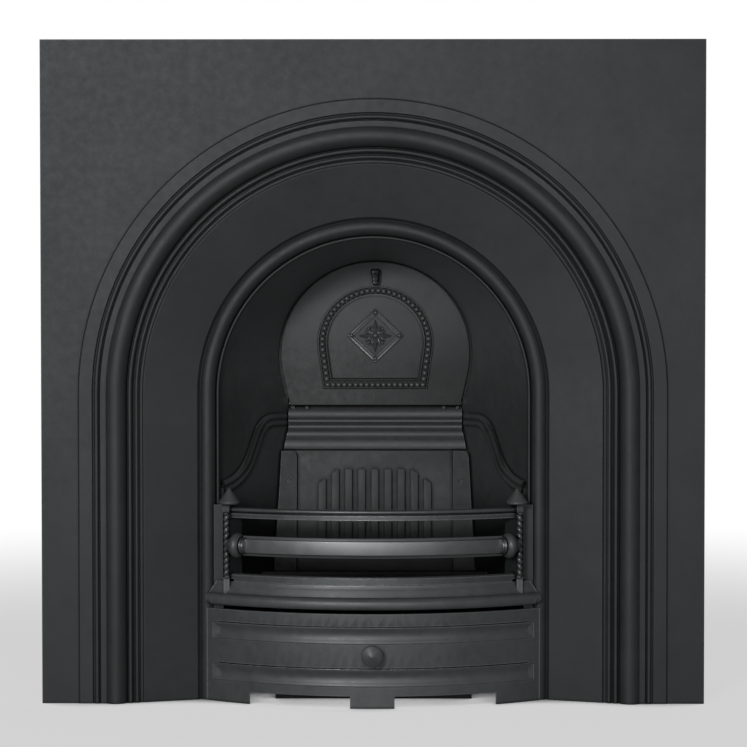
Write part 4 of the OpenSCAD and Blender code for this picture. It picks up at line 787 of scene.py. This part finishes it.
def leaf(name, length, width, height, tip, vein):
    """A cast leaf along X: a flattened ball drawn out to a point, with a sunk vein or a raised one."""
    bpy.ops.object.select_all(action="DESELECT")
    bpy.ops.mesh.primitive_uv_sphere_add(segments=20, ring_count=16, radius=1.0)
    piece = bpy.context.object
    piece.name = name
    edit(piece)
    bpy.ops.transform.rotate(value=math.pi / 2, orient_axis="Y", center_override=(0, 0, 0))
    bpy.ops.mesh.bisect(plane_co=(0, 0, -0.3), plane_no=(0, 0, 1), clear_inner=True, use_fill=True)
    finish_edit(0.001)
    for vertex in piece.data.vertices:
        x, y, z = vertex.co
        along = (x + 1) / 2
        narrow = 1 - tip * along ** 2
        sink = 1 - vein * math.exp(-(y * 3.2) ** 2)
        droop = 1 - 0.45 * along ** 2
        vertex.co = Vector((along * length, y * narrow * width / 2, z * height * sink * droop)) * MM
    return piece


def arch_moulding():
    """The flat channel that the beads lie in, between its two mouldings."""
    outer_moulding = [(0.7, 1.9), (0.5, 0.4), (1.3, 0.1), (0.6, -0.4), (0.6, -0.9)]
    channel = [(8.4, 0.0)]
    inner_moulding = [(0.6, 0.9), (0.6, 0.4), (1.2, 0.0), (0.7, -0.35), (2.6, -1.6), (0.6, -0.3)]
    points = horseshoe(ARCH_R, ARCH_FOOT_W, ARCH_CENTRE - ARCH_FOOT, ARCH_FOOT, steps=96)
    return raised_work("bead_moulding", points, outer_moulding + channel + inner_moulding)


def arch_beads(radius):
    """The beads in the channel, along its middle line."""
    inset, pitch, lift = 7.9, 8.6, 1.0
    narrower, higher = inset * 0.9, inset * 0.8
    spots = bead_row(ARCH_R - inset, ARCH_FOOT_W - narrower, ARCH_CENTRE - ARCH_FOOT - higher,
                     ARCH_FOOT + higher, pitch)
    return copies(half_ball("bead", radius), [moved(x, y, lift) for x, y in spots])


def lozenge_border():
    """The lozenge's double moulding."""
    border = raised_work("lozenge_frame", [
        (LOZENGE_W, LOZENGE_MIDDLE), (0, LOZENGE_MIDDLE + LOZENGE_H),
        (-LOZENGE_W, LOZENGE_MIDDLE), (0, LOZENGE_MIDDLE - LOZENGE_H)], [
        (0.8, 2.2), (0.5, 0.5), (2.6, 0.2), (0.5, -0.5), (0.6, -1.0),
        (0.9, 0.0), (0.5, 0.6), (0.8, 0.0), (0.5, -0.6), (0.6, -0.9)])
    apply_modifier(border, "BEVEL", width=0.3 * MM, segments=2, limit_method="ANGLE",
                   angle_limit=math.radians(24), use_clamp_overlap=True)
    return border


def rosette():
    """The lozenge's bosses, its four petals, the leaves between them and their curls."""
    middle, corner_inset, curl_r = LOZENGE_MIDDLE, 7.3, 15.4
    diagonals = (45, 135, 225, 315)
    wide, high = LOZENGE_W - corner_inset, LOZENGE_H - corner_inset
    parts = copies(half_ball("boss", 4.8, segments=24, rings=16), [moved(0, middle, 1.8)])
    parts += copies(half_ball("corner_boss", 3.5, segments=20, rings=14),
                    [moved(x, middle + y, 2.0) for x, y in ((wide, 0), (-wide, 0), (0, high), (0, -high))])
    parts += copies(leaf("petal", length=26.0, width=8.2, height=3.8, tip=0.95, vein=-0.3),
                    [moved(0, middle, 0.2, a) for a in (0, 90, 180, 270)])
    parts += copies(leaf("side_leaf", length=19.0, width=7.8, height=3.0, tip=0.9, vein=0.45),
                    [moved(0, middle, 0.0, a + lean) for a in diagonals for lean in (-19, 19)])
    curls = []
    for a in map(math.radians, diagonals):
        curls.append(moved(curl_r * math.cos(a), middle + curl_r * math.sin(a), 0.6))
    return parts + copies(half_ball("leaf_curl", 2.6, segments=14, rings=10, squash=0.9), curls)


def hinge_knuckles():
    """The two round knuckles behind the door's foot, each with the lug that it grows from."""
    parts, radius, length = [], 4.5, 14.0
    for across in (-116.0, 116.0):
        knuckle = rod(radius, length, (across, 4.0, -10.5), rotation=(0, math.pi / 2, 0))
        apply_modifier(knuckle, "BEVEL", width=0.5 * MM, segments=2, limit_method="ANGLE")
        bpy.ops.object.select_all(action="DESELECT")
        bpy.ops.mesh.primitive_cube_add(size=1.0)
        lug = place(bpy.context.object, sized((across, 6.1, -7.6), (13.6, 4.0, 5.8)))
        apply_modifier(lug, "BEVEL", width=0.3 * MM, segments=2)
        parts += [knuckle, lug]
    return parts


class OBJECT_OT_damper_door(bpy.types.Operator):
    """Casts the damper door with its beaded arch and lozenge rosette"""

    bl_idname = "object.fireplace_damper_door"
    bl_label = "Damper door"

    def execute(self, context):
        thick, edge, bead_radius = 6.0, 0.7, context.scene.fireplace_damper.bead_radius / MM
        shape = horseshoe(DOOR_R, DOOR_FOOT_W, DOOR_CENTRE, foot=0.0, steps=110)
        door = [slab("door_plate", shape, -thick, 0.0, edge), arch_moulding()]
        relief = arch_beads(bead_radius)
        relief.insert(0, lozenge_border())
        relief += rosette()
        door += hinge_knuckles()
        for name, parts, finish in (("damper_door_casting", door, "door_iron"),
                                    ("damper_door_relief", relief, "relief_iron")):
            piece = place(joined(name, parts), ON_DOOR)
            smooth(piece, 34)
            hand_over(piece, ["damper_door"], finish)
        return {"FINISHED"}


class OBJECT_OT_damper_hook(bpy.types.Operator):
    """Casts the hook by which the damper is pulled open"""

    bl_idname = "object.fireplace_damper_hook"
    bl_label = "Damper hook"

    def execute(self, context):
        stem = (0, 208.5, 6.0), (14.0, 6.6, 12.0)
        head = (0, 208.5, 11.4), (14.6, 7.4, 7.6)
        tongue = (0, 199.6, 11.6), (13.0, 22.0, 7.0)
        tip = (0, 191.6, 11.8), (12.0, 9.0, 6.6)
        bpy.ops.object.select_all(action="DESELECT")
        parts = []
        for at, size in (stem, head, tongue, tip):
            bpy.ops.mesh.primitive_uv_sphere_add(segments=24, ring_count=16, radius=0.5)
            part = bpy.context.object
            for vertex in part.data.vertices:
                # A ball drawn out towards a block keeps the soft corners of a small casting
                vertex.co = Vector([math.copysign(abs(2 * c) ** 0.45 / 2, c) for c in vertex.co])
            parts.append(place(part, sized(at, size)))
        hook = joined("damper_hook_casting", parts)
        apply_modifier(hook, "REMESH", mode="VOXEL", voxel_size=0.45 * MM)
        apply_modifier(hook, "SMOOTH", factor=0.5, iterations=8)
        narrow_from, narrow_over, narrow_by = 207.0 * MM, 18.0 * MM, 0.22
        for vertex in hook.data.vertices:
            # The tongue narrows towards its round tip
            along = max(0.0, min(1.0, (narrow_from - vertex.co.y) / narrow_over))
            vertex.co.x *= 1 - narrow_by * along
        place(hook, ON_DOOR)
        select_only(hook)
        bpy.ops.object.shade_smooth()
        hand_over(hook, ["damper_hook"], "hook_iron")
        return {"FINISHED"}


# ---------- fireback and grate
def fireback_rib(rib_no):
    """One rib of nine, counted from the middle one: the outer pair are shorter, and the two outer ribs
    of each side are cut off aslant towards the outside."""
    pitch, half, low, high, rise, shorter = 20.1, 5.7, 207.9, 332.5, 5.6, 15.0
    side = (rib_no > 2) - (rib_no < -2)
    end = high - (shorter if abs(rib_no) == 4 else 0.0)
    if side:
        top = [(half, end - 7.5), (half - 1.2, end - 6.4)] + arc(1.5 - half, end - 1.2, 1.2, 60, 180, 4)
    else:
        top = arc(half - 2.0, end - 2.0, 2.0, 0, 90, 4) + arc(2.0 - half, end - 2.0, 2.0, 90, 180, 4)
    points = [(-half, low), (half, low)] + top
    if side < 0:
        points = [(-x, y) for x, y in reversed(points)]
    return place(slab("fireback_rib", points, -0.6, rise, 0.7), moved(rib_no * pitch, 0))


class OBJECT_OT_fireback(bpy.types.Operator):
    """Casts the fireback with its nine upright ribs"""

    bl_idname = "object.fireplace_fireback"
    bl_label = "Fireback"

    def execute(self, context):
        foot, top, foot_w, top_w, thick, edge = 166.7, 361.0, 155.9, 143.5, 9.0, 0.8
        foot_y, lean, hole_r, hole_x, hole_up = 133.17, 5.4, 2.8, 132.1, 313.4
        plate = slab("fireback_plate", [(-foot_w, foot), (foot_w, foot), (top_w, top), (-top_w, top)],
                     -thick, 0.0, edge)
        cut_out(plate, [rod(hole_r, 40.0, (side * hole_x, hole_up, 0.0)) for side in (-1, 1)])
        ribs = [fireback_rib(rib_no) for rib_no in range(-4, 5)]
        whole = place(joined("fireback_casting", [plate] + ribs), leaning(foot_y, 0.0, lean))
        smooth(whole, 32)
        hand_over(whole, ["fireback"], "back_iron")
        return {"FINISHED"}


class OBJECT_OT_bottom_grate(bpy.types.Operator):
    """Casts the loose grate with its slots"""

    bl_idname = "object.fireplace_bottom_grate"
    bl_label = "Bottom grate"

    def execute(self, context):
        radius, half_w, top, thick = BOW_R - 14.0, 188.0, 172.0, 12.0
        shoulder_y, back_y, back_w = 60.0, 125.0, 169.5
        slot_pitch, slot_r, front_rim, back_rim, through = 22.0, 5.0, 16.0, 17.0, 2.0
        edge = math.degrees(math.asin(half_w / radius))
        plate = slab("grate_plate", arc(0, BOW_Y, radius, -90 - edge, -90 + edge, 48) + [
            (half_w, shoulder_y), (back_w, back_y), (-back_w, back_y), (-half_w, shoulder_y)],
            top - thick, top, 1.0)
        slots = []
        for slot_no in range(-6, 7):
            x = slot_no * slot_pitch
            front_y = BOW_Y - math.sqrt(radius ** 2 - x ** 2) + front_rim
            ends = arc(x, front_y, slot_r, 180, 360, 10) + arc(x, back_y - back_rim, slot_r, 0, 180, 10)
            slots.append(slab("slot", ends, top - thick - through, top + through))
        cut_out(plate, slots)
        smooth(plate, 32)
        hand_over(plate, ["bottom_grate"], "fire_iron")
        return {"FINISHED"}


# ---------- mid rail and rope columns
def both_sides(middle, half_section):
    """A section and its mirror image under a middle height."""
    return [(r, middle + z) for r, z in half_section] + [(r, middle - z) for r, z in reversed(half_section)]


class OBJECT_OT_mid_rail(bpy.types.Operator):
    """Casts the mid rail with its ground front band and turned ends"""

    bl_idname = "object.fireplace_mid_rail"
    bl_label = "Mid rail"

    def execute(self, context):
        radius, middle, end_x = BOW_R + 6.2, 230.0, 189.0
        body_half = [(radius - 2.6, 10.4), (radius - 3.0, 11.6), (radius - 3.4, 13.4)]
        body_half += arc(radius - 4.9, 13.1, 1.5, 15, 90, 4) + arc(radius - 7.2, 12.7, 1.9, 90, 180, 4)
        body = bowed("rail_body", both_sides(middle, body_half), end_x)
        band_half = [(radius - 3.0, 10.5), (radius - 1.3, 10.5)] + arc(radius - 1.4, 9.1, 1.4, 80, 0, 5)
        band = bowed("rail_band", both_sides(middle, band_half), end_x)

        collar = [(0, -4.0), (10.0, -4.0)] + arc(10.4, -2.2, 1.7, -80, 80, 8)
        collar += arc(10.7, 2.1, 1.8, -75, 90, 8) + [(0, 4.2)]
        boss_r, boss_middle, boss_half = 18.3, 11.0, 11.0
        boss = [(0, 3.8)]
        for a in map(math.radians, range(-39, 40, 6)):
            boss.append((boss_r * math.cos(a), boss_middle + boss_half * math.sin(a)))
        boss += [(12.4, 20.2), (10.2, 23.0), (8.2, 26.0), (0, 26.0)]
        # The turned ends' axis lies along the bow, at the rail's right end
        turn = math.degrees(math.asin(end_x / radius)) - 90
        at_end = (moved(0, BOW_Y, middle, turn) @ moved(radius - 3.0, 0)
                  @ Matrix.Rotation(-math.pi / 2, 4, "X"))
        both_ends = [at_end, Matrix.Diagonal((-1, 1, 1, 1)) @ at_end]
        bright_part = joined("mid_rail_ground_band", [band] + copies(turned("collar", collar), both_ends))
        dark_part = joined("mid_rail_casting", [body] + copies(turned("boss", boss), both_ends))
        for piece, finish in ((dark_part, "handled_iron"), (bright_part, "bright_iron")):
            smooth(piece, 38)
            hand_over(piece, ["mid_rail"], finish)
        return {"FINISHED"}


class OBJECT_OT_rope_columns(bpy.types.Operator):
    """Twists the two rope columns, each the other's mirror image"""

    bl_idname = "object.fireplace_rope_columns"
    bl_label = "Rope columns"

    def execute(self, context):
        foot, length, core, groove = 183.1, 94.3, 4.4, 1.5
        column_x, bow_x, back_from_bow = 214.4, 210.0, 2.75
        column_y = BOW_Y - math.sqrt(BOW_R ** 2 - bow_x ** 2) - back_from_bow
        section = []
        for a in [math.tau * i / 36 for i in range(36)]:
            r = core - groove * (1 - abs(math.sin(a / 2))) ** 1.4
            section.append((r * math.cos(a), r * math.sin(a)))
        turns = length * MM / context.scene.fireplace_bars.rope_lead
        for side, node in ((1, "right_rope_column"), (-1, "left_rope_column")):
            rope = outline(node + "_strand", [(side * x, y, 0.0) for x, y in section])
            apply_modifier(rope, "SCREW", axis="Z", angle=-side * math.tau * turns, screw_offset=length * MM,
                           steps=260, render_steps=260, use_merge_vertices=False)
            edit(rope)
            bpy.ops.mesh.fill_holes(sides=0)
            finish_edit(0.001)
            place(rope, moved(side * column_x, column_y, foot))
            smooth(rope, 46)
            hand_over(rope, [node], "bar_iron")
        return {"FINISHED"}


# ---------- stage
WHITE = (1.0, 1.0, 1.0, 1.0)
MIDDLE = (0.0, 0.0, 0.5)


def matt_floor():
    """Matt paper, pale grey to the lights; the camera sees it fade to white away from the fireplace,
    and close to it, where the fireplace encloses the floor, the white gives way to painted shade and to the
    fireplace's own shadow."""
    material, tree = new_material("Matt white floor")
    place_on_floor = add_node(tree, "TexCoord").outputs["Object"]
    away = add_node(tree, "VectorMath", {"operation": "LENGTH"}, {0: place_on_floor})
    fade = add_node(tree, "MapRange", {"interpolation_type": "SMOOTHSTEP"},
                    {"Value": away.outputs["Value"], "From Min": 0.9, "From Max": 3.0, "To Min": 0.6})
    # Painted shade: the white is taken away where the fireplace encloses the floor, so the grey and its real
    # shadow show there
    near = add_node(tree, "AmbientOcclusion", {"samples": 8}, {"Distance": 0.08})
    clear = add_node(tree, "MapRange", None,
                     {"Value": near.outputs["AO"], "From Min": 0.35, "From Max": 0.62})
    shown = add_node(tree, "Math", {"operation": "MULTIPLY"},
                     {0: fade.outputs[0], 1: clear.outputs[0]})
    seen = add_node(tree, "LightPath").outputs["Is Camera Ray"]
    share = add_node(tree, "Math", {"operation": "MULTIPLY"}, {0: shown.outputs[0], 1: seen})
    matt = add_node(tree, "BsdfDiffuse", None, {"Color": (0.45, 0.45, 0.45, 1.0)})
    white = add_node(tree, "Emission", None, {"Color": WHITE, "Strength": 1.0})
    mix = add_node(tree, "MixShader", None,
                   {0: share.outputs[0], 1: matt.outputs[0], 2: white.outputs[0]})
    add_node(tree, "OutputMaterial", None, {"Surface": mix.outputs[0]})
    return material


def white_backdrop(world, strength):
    """A dim even light all round. The camera sees plain white instead, and so does metal that mirrors
    what is behind the fireplace."""
    world.use_nodes = True
    sky = world.node_tree
    sky.nodes.clear()
    level = add_node(sky, "Background", None, {"Color": WHITE, "Strength": strength})
    white = add_node(sky, "Background", None, {"Color": WHITE, "Strength": 1.0})
    ray = add_node(sky, "LightPath").outputs
    way = add_node(sky, "SeparateXYZ", None,
                   {0: add_node(sky, "TexCoord").outputs["Generated"]})
    behind = add_node(sky, "MapRange", {"interpolation_type": "SMOOTHSTEP"},
                      {"Value": way.outputs["Y"], "From Min": -0.1, "From Max": 0.3})
    mirrored = add_node(sky, "Math", {"operation": "MAXIMUM"},
                        {0: ray["Is Glossy Ray"], 1: ray["Is Transmission Ray"]})
    shown = add_node(sky, "Math", {"operation": "MULTIPLY"},
                     {0: mirrored.outputs[0], 1: behind.outputs[0]})
    share = add_node(sky, "Math", {"operation": "MAXIMUM"},
                     {0: ray["Is Camera Ray"], 1: shown.outputs[0]})
    mix = add_node(sky, "MixShader", None,
                   {0: share.outputs[0], 1: level.outputs[0], 2: white.outputs[0]})
    add_node(sky, "OutputWorld", None, {"Surface": mix.outputs[0]})


def lit_area(name, at, size, watts):
    """A soft lamp that faces the middle of the fireplace."""
    bpy.ops.object.light_add(type="AREA", location=at)
    lamp = bpy.context.object
    lamp.name = name
    lamp.rotation_euler = (Vector(MIDDLE) - Vector(at)).to_track_quat("-Z", "Y").to_euler()
    lamp.data.shape = "RECTANGLE"
    lamp.data.size, lamp.data.size_y = size
    lamp.data.energy = watts


class OBJECT_OT_fireplace_stage(bpy.types.Operator):
    """Lays the floor, sets the lights and places the camera"""

    bl_idname = "object.fireplace_stage"
    bl_label = "Floor, lights and camera"

    def execute(self, context):
        stage = context.scene.fireplace_stage
        bpy.ops.object.select_all(action="DESELECT")
        bpy.ops.mesh.primitive_grid_add(x_subdivisions=2, y_subdivisions=2, size=24.0)
        floor = context.object
        floor.name = "studio_floor"
        # Half a millimetre under the hearth's plane, so that no face lies in another
        floor.location = (0.0, 0.0, -0.5 * MM)
        floor.data.materials.append(matt_floor())

        context.scene.world = context.scene.world or bpy.data.worlds.new("Studio")
        white_backdrop(context.scene.world, 0.15 * stage.light)
        lit_area("key_light", at=(-1.3, -4.5, 1.65), size=(0.9, 0.9), watts=64.0 * stage.light)
        lit_area("low_light", at=(-0.4, -4.5, 0.4), size=(2.0, 0.6), watts=14.0 * stage.light)
        lit_area("right_light", at=(1.2, -4.5, 1.2), size=(0.8, 0.8), watts=11.0 * stage.light)

        # Place, turn, tilt and shift are fitted to the photograph
        camera_x, camera_z, turn, tilt = 0.0631, 0.5529, 0.356, 1.526
        bpy.ops.object.camera_add()
        camera = context.object
        camera.name = "photo_camera"
        camera.matrix_world = (Matrix.Translation((camera_x, -stage.camera_distance, camera_z))
                               @ Matrix.Rotation(math.radians(turn), 4, "Z")
                               @ Matrix.Rotation(math.radians(90 - tilt), 4, "X"))
        camera.data.lens = stage.lens
        camera.data.sensor_width = 36.0
        camera.data.shift_x, camera.data.shift_y = -0.0394, 0.0099
        context.scene.camera = camera
        context.scene.view_settings.view_transform = "Standard"
        return {"FINISHED"}


# ---------- sidebar and registration
GROUPS = {"fireplace_finishes": FireplaceFinishes, "fireplace_damper": FireplaceDamper,
          "fireplace_bars": FireplaceBars, "fireplace_stage": FireplaceStage}

STEPS = (OBJECT_OT_front_plate, OBJECT_OT_smoke_castings, OBJECT_OT_back_castings, OBJECT_OT_bar_castings,
         OBJECT_OT_ash_castings, OBJECT_OT_cover_and_sill_edges, OBJECT_OT_joint_cement,
         OBJECT_OT_fasteners, OBJECT_OT_damper_door, OBJECT_OT_damper_hook, OBJECT_OT_fireback,
         OBJECT_OT_bottom_grate, OBJECT_OT_mid_rail, OBJECT_OT_rope_columns, OBJECT_OT_fireplace_stage)


class VIEW3D_PT_fireplace(bpy.types.Panel):
    """Lists the steps that build the fireplace's looks"""

    bl_label = "Fireplace"
    bl_space_type = "VIEW_3D"
    bl_region_type = "UI"
    bl_category = "Fireplace"

    def draw(self, context):
        for step in STEPS:
            self.layout.operator(step.bl_idname)
        for name, kind in GROUPS.items():
            for choice in kind.__annotations__:
                self.layout.prop(getattr(context.scene, name), choice)


CLASSES = (*GROUPS.values(), *STEPS, VIEW3D_PT_fireplace)


def register():
    for kind in CLASSES:
        bpy.utils.register_class(kind)
    for name, kind in GROUPS.items():
        setattr(bpy.types.Scene, name, PointerProperty(type=kind))


def unregister():
    for name in GROUPS:
        delattr(bpy.types.Scene, name)
    for kind in reversed(CLASSES):
        bpy.utils.unregister_class(kind)


def main():
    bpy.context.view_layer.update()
    register()
    mix_finishes(bpy.context.scene.fireplace_finishes)
    for step in STEPS:
        getattr(bpy.ops.object, step.bl_idname.split(".")[1])()


if __name__ == "__main__":
    main()
